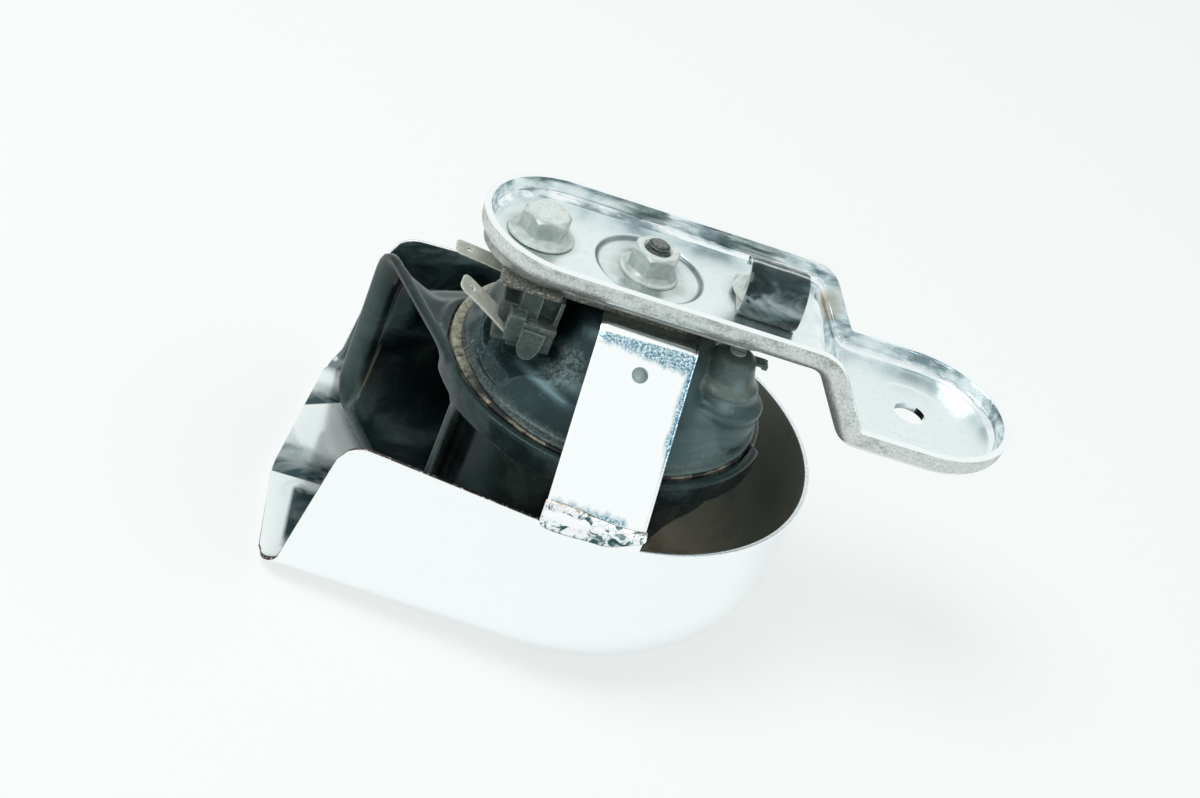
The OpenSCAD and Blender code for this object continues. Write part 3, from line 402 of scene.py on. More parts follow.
def trumpet_plastic():
    """Glossy black moulding: slate on the ring, a painted pale reflection streak inside the mouth, a painted
    highlight on the left lip's outer band, and edges lightened partly by rubbing, partly as painted
    highlight.
    """
    m = Mat("trumpet_plastic", (0.012, 0.016, 0.018), rough=0.22, specular=0.26, cast=(0.62, 0.95, 0.95))
    n = m.noise(38, 5, 0.62, offset=4, distortion=0.5)
    f = m.noise(1300, 5, 0.7)
    c = m.ramp(n, (0.36, 0.004, 0.008, 0.009), (0.5, 0.013, 0.022, 0.023), (0.66, 0.06, 0.084, 0.08))
    top = m.times(m.band(m.facing_up(), 0.6, 0.95), m.span(Z, -48, -42))
    c = m.over(c, (0.016, 0.032, 0.029), top, m.band(f, 0.35, 0.6, 0.55, 0.9))
    # Edges lightened: partly rubbed wear, partly painted highlight
    c = m.over(c, (0.15, 0.2, 0.195), m.edge(0.0009, 0.8, 0.97), m.band(f, 0.36, 0.58, 0.5, 1), 0.5)
    c = m.over(c, (0.08, 0.045, 0.036), m.near((-67, 27, -42), 3, 12), m.band(n, 0.35, 0.6, 0.3, 0.9), 0.5)
    along = m.plane((-0.891, -0.454, 0))
    # Painted highlight on the left lip's outer band
    lip_band_highlight = m.times(m.band(along, 44, 47), m.span((-0.454, 0.891, 0), 53.8, 58.6), m.span(Z, -92, -84))
    c = m.over(c, (0.06, 0.086, 0.086), lip_band_highlight, m.band(f, 0.3, 0.6, 0.55, 1))
    # Painted reflection: a pale tan streak inside the mouth
    line = m.plane((0.978, -0.211, -0.046), (-63.8, 27.9, -81.4))
    reflected_streak = m.times(m.band(line, -0.5, 0), m.band(line, 0.55, 0.1), m.span(Z, -70, -75),
                     m.span(Z, -91, -86))
    c = m.over(c, (0.27, 0.26, 0.19), reflected_streak, m.band(along, 38, 42, 0, 0.8))
    rough = m.plus(m.band(n, 0.3, 0.75, 0.14, 0.3), m.band(f, 0.5, 0.8, 0, 0.08))
    return m.done(c, rough, (m.noise(70, 3, 0.5), 0.08, 0.0006), (f, 0.1, 0.00008))


def dry_gasket():
    """Fibre ring: pale tan on the left and in patches, black elsewhere, and cracked."""
    m = Mat("dry_gasket", (0.4, 0.36, 0.27), rough=0.85)
    f = m.noise(700, 5, 0.72)
    n = m.noise(110, 4, 0.6, offset=2.5)
    tan = m.ramp(f, (0.34, 0.085, 0.085, 0.06), (0.46, 0.27, 0.27, 0.2), (0.66, 0.46, 0.46, 0.37))
    left = m.times(m.span((1, -0.25, 0), -30, -40), m.band(n, 0.3, 0.4))
    show = m.most(left, m.times(m.band(n, 0.52, 0.6), 0.75))
    return m.done(m.mix(show, (0.022, 0.024, 0.023), tan), None, (f, 0.5, 0.0003))


def rough_leaf():
    """Corroded spring leaf: tan and grey specks over dark steel."""
    m = Mat("rough_leaf", (0.3, 0.29, 0.25), metallic=0.35, rough=0.6)
    f = m.noise(1100, 6, 0.8)
    grey = m.ramp(f, (0.38, 0.025, 0.028, 0.025), (0.5, 0.13, 0.135, 0.115), (0.6, 0.33, 0.34, 0.295),
                  (0.7, 0.62, 0.64, 0.58))
    tan = m.band(m.noise(240, 4, 0.6, offset=1.5), 0.42, 0.6, 0, 0.28)
    return m.done(m.mix(tan, grey, (0.18, 0.18, 0.13)), None, (f, 0.6, 0.00035))


def dull_zinc():
    """Dull zinc: pale grey-green with white bloom and stippled crowns; faces that look up are whitened partly
    by bloom, partly as painted light, and edges brightened partly by wear, partly as painted highlight.
    """
    m = Mat("dull_zinc", (0.6, 0.64, 0.6), metallic=0.22, rough=0.42, specular=0.3)
    n = m.noise(260, 5, 0.65)
    pits = m.noise(1700, 4, 0.75)
    c = m.ramp(n, (0.3, 0.36, 0.41, 0.38), (0.5, 0.5, 0.56, 0.52), (0.75, 0.7, 0.77, 0.73))
    # Faces that look up: whiter, partly white bloom in the stipple, partly painted light
    c = m.over(c, (0.8, 0.86, 0.83), m.band(m.facing_up(), 0.93, 0.99), m.band(pits, 0.35, 0.6, 0.1, 0.8))
    c = m.over(c, (0.22, 0.24, 0.22), m.band(pits, 0.4, 0.3), 0.6)
    # Edges brightened: partly wear, partly painted highlight
    c = m.over(c, (0.9, 0.94, 0.92), m.edge(0.0006), 0.6)
    return m.done(c, m.band(pits, 0.35, 0.65, 0.3, 0.55), (n, 0.12, 0.0003), (pits, 0.22, 0.0001))


def dark_stud():
    m = Mat("dark_stud", (0.12, 0.12, 0.11), metallic=0.25, rough=0.45, specular=0.3, cast=(0.7, 1, 1))
    f = m.noise(1300, 4, 0.7)
    c = m.ramp(f, (0.35, 0.012, 0.015, 0.015), (0.5, 0.045, 0.052, 0.05), (0.7, 0.16, 0.18, 0.175))
    end = m.times(m.disc(0, 0, 2.3, 2.6), m.span(Z, 8.2, 8.8))
    c = m.over(c, (0.22, 0.225, 0.215), end, m.band(f, 0.35, 0.6, 0.3, 0.9))
    # Edges brightened: partly wear, partly painted highlight
    c = m.over(c, (0.55, 0.58, 0.57), m.edge(0.0004), 0.6)
    return m.done(c, None, (f, 0.3, 0.0001))


def vinyl():
    """Dipped vinyl: nearly black and oily, with painted wavy highlights halfway up, a painted highlight line
    along the folded top, edges lightened partly by wear, partly as painted highlight, and brown dust low
    down.
    """
    m = Mat("clip_vinyl", (0.02, 0.024, 0.025), rough=0.16, specular=0.35, cast=(0.7, 0.98, 1))
    n = m.noise(110, 4, 0.62, stretch=(0.55, 1, 1), offset=1.1, distortion=0.9)
    f = m.noise(1200, 5, 0.75)
    c = m.ramp(n, (0.38, 0.006, 0.01, 0.011), (0.52, 0.03, 0.046, 0.048), (0.64, 0.14, 0.19, 0.195))
    # Painted highlights: wavy pale glints halfway up
    smear_and_glint = m.times(m.span(Z, 4.5, 6.5), m.span(Z, 10.5, 8), m.band(n, 0.46, 0.6))
    c = m.over(c, (0.42, 0.5, 0.51), smear_and_glint, 0.9)
    c = m.over(c, (0.24, 0.23, 0.19), m.span(Z, 4.2, 1.2), m.band(f, 0.4, 0.62), 0.55)
    # Painted highlight: a pale line along the folded top
    fold = m.times(m.span(Y, -2.9, -2.3), m.span(Y, -1.3, -1.8), m.span(Z, 10.5, 12))
    c = m.over(c, (0.62, 0.7, 0.71), fold, m.band(f, 0.34, 0.6, 0.35, 1))
    # Edges lightened: partly wear, partly painted highlight
    c = m.over(c, (0.35, 0.42, 0.42), m.edge(0.0005), 0.5)
    return m.done(c, m.band(f, 0.4, 0.75, 0.1, 0.26),
                  (m.noise(130, 3, 0.5, stretch=(0.6, 1, 1)), 0.3, 0.0012), (f, 0.1, 0.00006))


M = {
    "tray": tray_chrome(), "bracket_out": worn_plate(), "lip": chrome("lip_chrome", (0.92, 0.95, 0.95), 0.07),
    "cover": chrome("cover_chrome", (0.955, 0.98, 0.985), 0.04), "inside": cover_inside(), "rim": rim_edge(),
    "strap": strap_chrome(), "weld": weld_chrome(), "zinc": dull_zinc(), "plated": plated(),
    "case": case_paint(), "trumpet": trumpet_plastic(), "vinyl": vinyl(), "gasket": dry_gasket(),
    "leaf": rough_leaf(), "stud": dark_stud(),
    "block": moulding("terminal_moulding", (0.045, 0.062, 0.058), (0.2, 0.24, 0.215), 0.5, 210,
                      ((0.36, 0.4, 0.36), 0.0009, 0.6)),
    "brass": moulding("tarnished_brass", (0.4, 0.42, 0.36), (0.86, 0.88, 0.82), 0.4, 190,
                      ((0.92, 0.96, 0.93), 0.0008, 0.95)),
    "clip": moulding("clip_steel", (0.44, 0.47, 0.46), (0.72, 0.76, 0.75), 0.35, 200,
                     ((0.92, 0.95, 0.95), 0.0004, 0.8)),
    "inner": moulding("inner_metal", (0.25, 0.25, 0.25), (0.5, 0.5, 0.5), 0.4)}

# Looks of the solids, which show where no piece below replaces them
for node_name, obj in NODES.items():
    for s in obj.material_slots:
        s.material = M[{"backing_plate": "plated", "adjusting_screw": "zinc"}.get(node_name, "inner")]


# Mesh code shared by the pieces
def new_object(name, mesh):
    """An object in the scene from a bmesh, which is freed."""
    me = bpy.data.meshes.new(name)
    mesh.to_mesh(me)
    mesh.free()
    o = bpy.data.objects.new(name, me)
    bpy.context.scene.collection.objects.link(o)
    return o


def declare(o, replaces):
    """Says which body the piece rides on and which nodes it stands for."""
    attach(o, "horn")
    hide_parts(*replaces)
    return o


def piece(name, parts, looks, node, weld=1e-5, sharp=None):
    """A welded piece from lists of points and faces, with edges sharper than an angle kept crisp."""
    verts, faces = [], []
    for v, f in parts:
        faces += [tuple(i + len(verts) for i in face) for face in f]
        verts += v
    me = bpy.data.meshes.new(name)
    me.from_pydata([place(v) for v in verts], [], faces)
    b = bmesh.new()
    b.from_mesh(me)
    bpy.data.meshes.remove(me)
    bmesh.ops.remove_doubles(b, verts=b.verts, dist=weld)
    bmesh.ops.dissolve_degenerate(b, edges=b.edges, dist=weld / 2)
    bmesh.ops.recalc_face_normals(b, faces=b.faces)
    for face in b.faces:
        face.smooth = True
    o = declare(new_object(name, b), [node])
    for look in looks.split():
        o.data.materials.append(M[look])
    return sharpen(o, sharp) if sharp else o


def sharpen(o, angle):
    o.data.set_sharp_from_angle(angle=math.radians(angle))
    return o


def loft(rings, closed=True, capped=False):
    """Points and faces of a skin through rings that have equally many points."""
    n = len(rings[0])
    verts = [p for ring in rings for p in ring]
    faces = []
    for i in range(0, n * (len(rings) - 1), n):
        for j in range(n if closed else n - 1):
            k = (j + 1) % n
            faces.append((i + j, i + k, i + k + n, i + j + n))
    if capped:
        faces += [tuple(range(n)), tuple(range(len(verts) - 1, len(verts) - n - 1, -1))]
    return verts, faces


def applied(o):
    """Puts the result of the object's modifiers into its own mesh."""
    deps = bpy.context.evaluated_depsgraph_get()
    deps.update()
    shown, old = o.evaluated_get(deps), o.data
    new = bpy.data.meshes.new_from_object(shown, preserve_all_data_layers=True, depsgraph=deps)
    o.modifiers.clear()
    o.data = new
    bpy.data.meshes.remove(old)
    return o


def sheet(o, thick, up, even=True):
    """Gives a skin its thickness, away from the side that faces up, or down where up is -1."""
    if up * sum(p.normal.z * p.area for p in o.data.polygons) < 0:
        o.data.flip_normals()
    s = o.modifiers.new("sheet", "SOLIDIFY")
    s.thickness = thick / 1000
    s.offset = -1
    s.use_even_offset = even
    s.use_quality_normals = not even
    s.material_offset = 1
    s.material_offset_rim = 2
    return applied(o)


def bevel(o, width, segments, angle):
    b = o.modifiers.new("edges", "BEVEL")
    b.width = width / 1000
    b.segments = segments
    b.limit_method = "ANGLE"
    b.angle_limit = math.radians(angle)
    return o


def drill(o, at, r, depth=12, turn=(0, 0, 0), steps=64, top_r=None, self_cut=False):
    """Cuts a round hole about a point; top_r gives it another radius at its upper end."""
    b = bmesh.new()
    bmesh.ops.create_cone(b, cap_ends=True, segments=steps, radius1=r / 1000, radius2=(top_r or r) / 1000,
                          depth=depth / 1000)
    cutter = new_object("cutter", b)
    cutter.location = place(at)
    cutter.rotation_euler = turn
    m = o.modifiers.new("hole", "BOOLEAN")
    m.operation = "DIFFERENCE"
    m.solver = "EXACT"
    m.use_self = self_cut
    m.object = cutter
    applied(o)
    me = cutter.data
    bpy.data.objects.remove(cutter)
    bpy.data.meshes.remove(me)


def voxel_skin(o, size):
    r = o.modifiers.new("skin", "REMESH")
    r.mode = "VOXEL"
    r.voxel_size = size / 1000
    r.use_smooth_shade = True


# Turned, swept and cut forms shared by the pieces
def lathe(profile, steps, centre=(0, 0), move=None):
    """A turned skin; profile gives r and z, and move may shift a point given its angle."""
    rings = []
    for r, z in profile:
        ring = []
        for i in range(steps):
            a = 2 * math.pi * i / steps
            rr, zz = move(r, z, a) if move else (r, z)
            ring.append([centre[0] + rr * math.cos(a), centre[1] + rr * math.sin(a), zz])
        rings.append(ring)
    return loft(rings)


def curve_points(points, steps):
    """A smooth curve through the points of a profile."""
    out = []
    n = len(points)
    for i in range(n - 1):
        p0, p1, p2, p3 = (points[clamp(i + k, 0, n - 1)] for k in (-1, 0, 1, 2))
        for j in range(steps):
            t = j / steps
            out.append(tuple(0.5 * (2 * b + (c - a) * t + (2 * a - 5 * b + 4 * c - d) * t * t
                                    + (3 * b - 3 * c + d - a) * t ** 3)
                             for a, b, c, d in zip(p0, p1, p2, p3)))
    out.append(tuple(points[-1]))
    return out


def ripple(p, scale, seed):
    """Smooth seeded noise from -1 to 1 at a point in mm."""
    return noise.noise(Vector((p[0] * scale + seed, p[1] * scale - seed, p[2] * scale + 2 * seed)))


def slab(x0, x1, y0, y1, z0, z1, chamfer):
    """A block with all its edges turned off."""
    b = bmesh.new()
    bmesh.ops.create_cube(b, size=1)
    for v in b.verts:
        v.co = Vector((lerp(x0, x1, v.co.x + 0.5), lerp(y0, y1, v.co.y + 0.5), lerp(z0, z1, v.co.z + 0.5)))
    bmesh.ops.bevel(b, geom=b.edges[:], offset=chamfer, segments=3, profile=0.6, affect="EDGES")
    verts = [list(v.co) for v in b.verts]
    faces = [tuple(v.index for v in f.verts) for f in b.faces]
    b.free()
    return verts, faces


# Bracket
STEP_X, STEP_A, BEND_R = 53, math.radians(55), 7
STEP_RUN = DROP / math.tan(STEP_A)
PAN_CX, PAN_HW = -25.25, 23.75
EAR_CX, EAR_HW = 91.5, 25.5
WALL_H, FILLET, SHEET_T = 5.8, 2.6, 2
RING_R, RING_DEPTH = 16.7, 1.1


def floor_at(x):
    """Height and slope of the bracket's floor at a place along it."""
    t = BEND_R * math.tan(STEP_A / 2)
    x1, x2 = STEP_X - t, STEP_X + STEP_RUN + t
    c = BEND_R * math.sin(STEP_A)
    if x <= x1:
        return 0, 0
    if x < x1 + c:
        a = math.asin((x - x1) / BEND_R)
        return -BEND_R * (1 - math.cos(a)), a
    if x >= x2:
        return -DROP, 0
    if x > x2 - c:
        a = math.asin((x2 - x) / BEND_R)
        return -DROP + BEND_R * (1 - math.cos(a)), a
    return -(x - STEP_X) * math.tan(STEP_A), STEP_A


def quarter(cx, r, start):
    """Stations on a quarter circle: x, half width and the rim's outward direction."""
    angles = [start - i * (math.pi / 2) / 26 for i in range(27)]
    return [(cx + r * math.cos(a), r * math.sin(a), math.cos(a), math.sin(a)) for a in angles]


def pan_stations():
    """Places along the bracket, closest where its floor bends or holds a ring."""
    out = quarter(PAN_CX, PAN_HW, math.pi)
    x = PAN_CX
    while x < EAR_CX - 1:
        x += 0.32 if -18 < x < 18 else (0.6 if 83 < x < 96 else (0.7 if 47 < x < 73 else 1.3))
        widen = smooth((x - STEP_X + 3) / (STEP_RUN + 6))
        out.append((x, lerp(PAN_HW, EAR_HW, widen), 0, 1))
    return out + quarter(EAR_CX, EAR_HW, math.pi / 2)


def pan_point(x, y, h):
    z, a = floor_at(x)
    return [x + h * math.sin(a), y, z + h * math.cos(a)]


def bracket_piece():
    st = pan_stations()
    section = [(-0.35, WALL_H), (-0.2, WALL_H - 1.2), (0, WALL_H - 2.4)]
    for i in range(8):
        a = math.radians(90 * i / 7)
        section.append((FILLET * (1 - math.cos(a)), FILLET * (1 - math.sin(a))))
    # The wall and its fillet, right round the outline
    loop = st + [(x, -w, nx, -ny) for x, w, nx, ny in reversed(st[1:-1])]
    wall = loft([[pan_point(x - d * nx, w - d * ny, h) for x, w, nx, ny in loop] for d, h in section])
    cols = 150
    floor_skin = loft([[pan_point(x - FILLET * nx, (w - FILLET * ny) * (2 * j / cols - 1), 0)
                        for j in range(cols + 1)] for x, w, nx, ny in st], closed=False)
    # The sunk ring round the centre nut, with a crisp upper edge, and the ear's shallow seat
    for p in floor_skin[0]:
        r = math.hypot(p[0], p[1])
        if r < 17:
            p[2] += 0.25 * smooth((11.5 - r) / 2.5) - RING_DEPTH * smooth((RING_R - r) / 1.1)
        if p[0] > 75:
            p[2] -= 0.18 * smooth((14.6 - math.hypot(p[0] - EAR_X, p[1])) / 1.2)
    o = piece("bracket_pressing", [wall, floor_skin], "tray bracket_out lip", "bracket")
    # The thickness goes outwards and down, away from the tray
    sheet(o, SHEET_T, 1, even=False)
    drill(o, (EAR_X, 0, -DROP - 1), 5, 20, steps=48)
    bevel(o, 0.55, 3, 40)


bracket_piece()

# Cover: stations run from the near mouth edge round the closed end to the far mouth edge
COVER_R, COVER_CX, COVER_T = 65, 4.5, 1.4
RIM_Z, FACE_Z = -50, -103
RIM_CORNER = 7
TAPER = math.radians(6.8)
YAW = math.radians(-2.4)


def yawed(p):
    c, s = math.cos(YAW), math.sin(YAW)
    return [p[0] * c - p[1] * s, p[0] * s + p[1] * c, p[2]]


def mouth_x(side, t):
    """Where the mouth cuts the cover's side, t from 0 at the rim to 1 at the face."""
    return lerp(-66.6 if side < 0 else -69.7, -75.6, t)


def face_x(y):
    """Where the mouth cuts the cover's face: two straight runs that meet in a blunt point."""
    def run(v):
        return -84.2 + (0.098 if v > -10 else 0.1) * abs(v + 10)
    return (run(y - 3) + run(y) + run(y + 3)) / 3


def cover_piece():
    side_a = math.pi / 2 + TAPER
    x0, y0 = COVER_CX + COVER_R * math.cos(side_a), COVER_R * math.sin(side_a)
    lean = -math.cos(side_a) / math.sin(side_a)
    runs, arc = 40, 72
    cols_side, cols_edge, cols_face = 16, 12, 22

    def row(side, k):
        """From the rim to the face's middle: at step k of one side, or at angle k where side is 0."""
        t = k / runs
        a = side_a if side else k
        nx, ny = math.cos(a), math.sin(a) * (side or 1)
        # A first guess of the place gives the edge radius
        guess = lerp(x0, -75, t) if side else COVER_CX + COVER_R * nx
        r = 5 + 25 * max(0, guess + 83) / 152.5
        depth = RIM_Z - FACE_Z - r
        drop = 0
        if side:
            # The rim falls away in a round corner at the mouth
            left = min(RIM_CORNER, abs(lerp(x0, mouth_x(side, 0), t) - mouth_x(side, 0)))
            drop = RIM_CORNER - math.sqrt(max(0, RIM_CORNER ** 2 - (RIM_CORNER - left) ** 2))
        out = []
        for j in range(cols_side + cols_edge + 1):
            turned = max(0, j - cols_side) / cols_edge
            z, inset = lerp(RIM_Z - drop, RIM_Z - depth, j / cols_side), 0
            if turned:
                bend = math.radians(90 * turned)
                z, inset = FACE_Z + r * (1 - math.sin(bend)), r * (1 - math.cos(bend))
            if side:
                xe = mouth_x(side, clamp((RIM_Z - z) / (RIM_Z - FACE_Z)))
                if turned:
                    # The cut runs on round the edge into the face's bow
                    xe = lerp(xe, face_x(side * (y0 + lean * (xe - x0) - inset)), smooth(turned))
                x = lerp(x0, xe, t)
                out.append([x - inset * nx, side * (y0 + lean * (x - x0)) - inset * ny, z])
            else:
                out.append([COVER_CX + (COVER_R - inset) * nx, (COVER_R - inset) * ny, z])
        # Across the face to the spine
        last = out[-1]
        for j in range(1, cols_face + 1):
            u = j / cols_face
            y = last[1] * (1 - u)
            x = lerp(x0, face_x(y), t) if side else x0
            out.append([x if side and t == 1 else lerp(last[0], x, u), y, FACE_Z])
        return out

    rows = [row(-1, i) for i in range(runs, 0, -1)]
    rows += [row(0, side_a * (2 * i / arc - 1)) for i in range(arc + 1)]
    rows += [row(1, i) for i in range(1, runs + 1)]
    skin = loft([[yawed(p) for p in r] for r in rows], closed=False)
    o = piece("cover_pressing", [skin], "cover inside rim", "cover_shell", weld=2e-5)
    bevel(sheet(o, COVER_T, -1), 0.35, 2, 50)


cover_piece()

# Fasteners
HEX_AF = 13
FLAT_R = HEX_AF / 2 * 0.97
HEAD_H = 7.8
STUD_R, STUD_TOP, PITCH = 3.6, 9, 1


def hex_r(a, turn):
    """Distance from the axis to the hexagon's side in a direction, with its corners a little worn."""
    b = (a - math.radians(turn)) % (math.pi / 3) - math.pi / 6
    return min(HEX_AF / 2 / math.cos(b), HEX_AF / math.sqrt(3) * 0.992)


def head_rings(z0, z1, turn, flange_r, flange_h, crown, seed):
    """A flange and a hexagon with its top corners turned off, from the seat to the crown."""
    mid, steps = z0 + flange_h, 96

    def ring(f):
        out = []
        for i in range(steps):
            a = math.radians(turn) + 2 * math.pi * i / steps
            r, z = f(a)
            out.append([r * math.cos(a), r * math.sin(a), z])
        return out

    def flange(inset, z, wave):
        def f(a):
            w = wave * (math.sin(2 * a + seed) + 0.6 * math.sin(3 * a + 2 * seed))
            return flange_r - inset + w, z + 0.6 * w
        return ring(f)

    def hexagon(grow, z):
        return ring(lambda a: (hex_r(a, turn) + grow, z))

    rings = [flange(0.7, z0, 0), flange(0.1, z0 + 0.15, 0.1), flange(0, z0 + 0.45, 0.12),
             flange(0.25, z0 + 0.8, 0.12), flange(0.9, z0 + 0.95, 0.08)]
    for k in range(1, 5):
        t = k / 5
        rings.append(flange(lerp(0.9, flange_r - HEX_AF / 2 - 0.9, t), lerp(z0 + 0.95, mid - 0.25, t), 0.03))
    rings += [hexagon(0.16, mid - 0.05), hexagon(0.04, mid + 0.15), hexagon(0, mid + 0.4),
              hexagon(0, lerp(mid, z1, 0.6)),
              ring(lambda a: (hex_r(a, turn), z1 - 0.35 - max(0, hex_r(a, turn) - FLAT_R) * 0.62))]
    for r, dz in [(FLAT_R, -0.12), (FLAT_R - 0.35, 0)] + crown:
        rings.append(ring(lambda a: (r, z1 + dz)))
    return rings


def stud_profile(z0, z1):
    """A thread seen from the side: ridges up to a turned end."""
    out = [(0, z0)]
    z = z0
    while z < z1 - 1.6:
        for dr, share in ((-0.55, 0), (-0.05, 0.42), (0, 0.5), (-0.05, 0.58)):
            out.append((STUD_R + dr, z + PITCH * share))
        z += PITCH
    return out + [(STUD_R - 0.4, z), (STUD_R - 0.35, z1 - 0.55), (STUD_R - 0.95, z1 - 0.08),
                  (STUD_R - 1.15, z1), (1.2, z1 + 0.02), (0, z1 - 0.1)]


def fasteners():
    dome = [(5, 0.16), (4, 0.2), (3.2, 0.1), (2.4, 0.02), (1.2, 0), (0, 0)]
    heads, shanks, nuts = [], [], []
    for (x, y), seat, foot, lean, seed, nut_top in ((ROUND_BOLT, 0, -12, (0.006, -0.012), 0.4, -7),
                                                    (EAR_BOLT, 1, -10.5, (0, 0), 1.9, -4.5)):
        v, f = loft(head_rings(seat, seat + HEAD_H, 12, 10, 1.8, dome, seed))
        heads.append(([[p[0] + x, p[1] + y, p[2] + lean[0] * p[0] + lean[1] * p[1]] for p in v], f))
        shank = [(0, foot), (3.6, foot), (4, foot + 0.6), (4, seat + 0.3), (0, seat + 0.3)]
        shanks.append(lathe(shank, 48, (x, y)))
        nuts.append(slab(x - 6.5, x + 6.5, y - 6.5, y + 6.5, nut_top - 4, nut_top, 0.8))
    piece("bolt_set", heads + shanks, "zinc", "flange_bolts", sharp=24)
    bore = [(4.5, -0.02), (3.75, -0.6), (3.65, -3), (3.65, -8.3)]
    nut = loft(head_rings(-1.1, 7.3, 16, 8.95, 2, bore, 2.6))
    piece("flange_nut", [nut], "zinc", "centre_nut", sharp=24)
    stud = lathe(stud_profile(-21.5, STUD_TOP), 64)
    piece("threaded_stud", [stud], "stud", "horn_stud", sharp=32)
    piece("square_nuts", nuts, "zinc", "plate_nuts", sharp=32)


fasteners()

# Strap: its tab on the stud, the fold and the slope down to the cover's rim
STRAP_W, STRAP_T = 29, 2
STRAP_SLOPE = math.atan2(39, 40.5)
FOLD_Y, FOLD_R, TAB_Z = -24.5, 1.6, -7


def strap_line():
    """Side view of the strap's upper face: distance across and height."""
    out = [(lerp(15, -22.6, i / 12), TAB_Z) for i in range(13)]
    cy, cz = FOLD_Y + FOLD_R * math.tan(STRAP_SLOPE / 2), TAB_Z - FOLD_R
    for i in range(1, 9):
        a = STRAP_SLOPE * i / 8
        out.append((cy - FOLD_R * math.sin(a), cz + FOLD_R * math.cos(a)))
    y1, z1 = out[-1]
    for i in range(1, 41):
        t = i / 40
        sag = 0.35 * math.sin(math.pi * t)
        out.append((lerp(y1, -65, t) + sag * math.sin(STRAP_SLOPE),
                    lerp(z1, -46, t) - sag * math.cos(STRAP_SLOPE)))
    return out + [(-65.15, -47.6), (-65.2, -49.4)]


def strap_section():
    """The strap's rounded section: distance across and depth below the upper face."""
    half, t, r, cols = STRAP_W / 2, STRAP_T, 0.45, 26

    def corner(cx, cy, a0):
        angles = [math.radians(a0 + 22.5 * k) for k in range(4, -1, -1)]
        return [(cx + r * math.cos(a), cy + r * math.sin(a)) for a in angles]
    top = [(lerp(-half + r, half - r, (j + 1) / (cols + 1)), 0) for j in range(cols)]
    low = [(x, -t) for x, _ in reversed(top)]
    right = corner(half - r, -r, 90) + corner(half - r, -t + r, 0)
    left = corner(-half + r, -t + r, 270) + corner(-half + r, -r, 180)
    return top + right + low + left


def strap_piece():
    line = strap_line()
    section = strap_section()
    rings = []
    for k, (y, z) in enumerate(line):
        a, b = line[max(0, k - 1)], line[min(len(line) - 1, k + 1)]
        n = Vector((b[1] - a[1], -(b[0] - a[0]))).normalized()
        if n.y < 0:
            n = -n
        ring = []
        for x, h in section:
            wave = 0.1 * ripple((x, y, 0), 0.09, 4) - 0.1 * abs(2 * x / STRAP_W) ** 6
            h += smooth((k - 20) / 6) * wave
            ring.append(yawed([COVER_CX + x, y + n.x * h, z + n.y * h]))
        rings.append(ring)
    o = piece("cover_strap_sheet", [loft(rings, capped=True)], "strap", "cover_strap")
    hole = yawed([COVER_CX, FOLD_Y - 11 * math.cos(STRAP_SLOPE), TAB_Z - 11 * math.sin(STRAP_SLOPE)])
    drill(o, hole, 2.35, turn=(STRAP_SLOPE, 0, YAW))
    drill(o, (0, 0, -8), 4.3)
    sharpen(o, 40)


strap_piece()


def weld_piece():
    """A flattened, lumpy bead that laps over the strap's foot and the cover's rim."""
    along, round_n = 110, 26
    rings = []
    for i in range(along + 1):
        s = i / along
        x = COVER_CX - 14.9 + 29.6 * s
        ends = math.sqrt(max(0, 1 - (2 * s - 1) ** 8))
        lift = 0.5 * smooth((s - 0.2) / 0.4) + 3.9 * smooth((s - 0.62) / 0.38)
        top = (-62.4 + 0.5 * math.sin(7 * s), -43.5 + 0.4 * math.sin(5 * s + 1))
        foot = (-65.35, -48.6 - 2.4 * ends + lift)
        ring = []
        for j in range(round_n):
            t = j / (round_n - 1)
            y, z = lerp(top[0], foot[0], t), lerp(top[1], foot[1], t)
            p = (x, y, z)
            lump = 0.45 * ripple(p, 0.35, 1) + 0.22 * ripple(p, 0.9, 5) + 0.1 * ripple(p, 2.2, 9)
            crinkle = 0.16 * ripple((x, y * 3, z * 0.6), 1.6, 3) * smooth((s - 0.45) / 0.2)
            h = (1.25 + lump + crinkle) * math.sin(math.pi * t) ** 0.7 * ends
            ring.append(yawed([x, y - h * 0.86, z + h * 0.5]))
        for t in (0.75, 0.5, 0.25):
            ring.append(yawed([x, lerp(top[0], foot[0], t) + 0.9, lerp(top[1], foot[1], t) - 0.4]))
        rings.append(ring)
    piece("weld_bead", [loft(rings, capped=True)], "weld", "strap_weld")


weld_piece()

# Wire clip: a bent steel strip with a folded vinyl sleeve
CLIP_X0, CLIP_X1 = 26.2, 43.7
ARCH_Y, ARCH_Z, ARCH_R = -2.1, 4.3, 9.2
BEND_Y, CLIP_BEND = -7, 4.3


def clip_path(out, start, end=55):
    """Side view of the clip: the bend beside the bolt's flange and the arch back over it."""
    pts = []
    for i in range(15):
        a = math.radians(lerp(start, 180, i / 14))
        pts.append((BEND_Y + (CLIP_BEND + out) * math.cos(a), ARCH_Z + (CLIP_BEND + out) * math.sin(a)))
    for i in range(1, 25):
        a = math.radians(lerp(180, end, i / 24))
        pts.append((ARCH_Y + (ARCH_R + out) * math.cos(a), ARCH_Z + (ARCH_R + out) * math.sin(a)))
    return pts


def strip(outer, inner, x0, x1, cols, wave=0, seed=0):
    """A closed strip between two side views, drawn out along the bracket."""
    rings = []
    for j in range(cols + 1):
        u = j / cols
        x = lerp(x0, x1, u)
        draw_in = 0.35 * (1 - math.sqrt(max(0, 1 - (2 * u - 1) ** 10)))
        ring = []
        for y, z in outer:
            w = wave * (ripple((x, y * 1.3, z), 0.3, seed) + 0.5 * ripple((x * 0.7, y, z), 0.8, seed + 3))
            d = Vector((y - ARCH_Y, z - ARCH_Z)).normalized() * (w - draw_in)
            ring.append([x, y + d.x, z + d.y])
        rings.append(ring + [[x, y, z] for y, z in reversed(inner)])
    return loft(rings, capped=True)


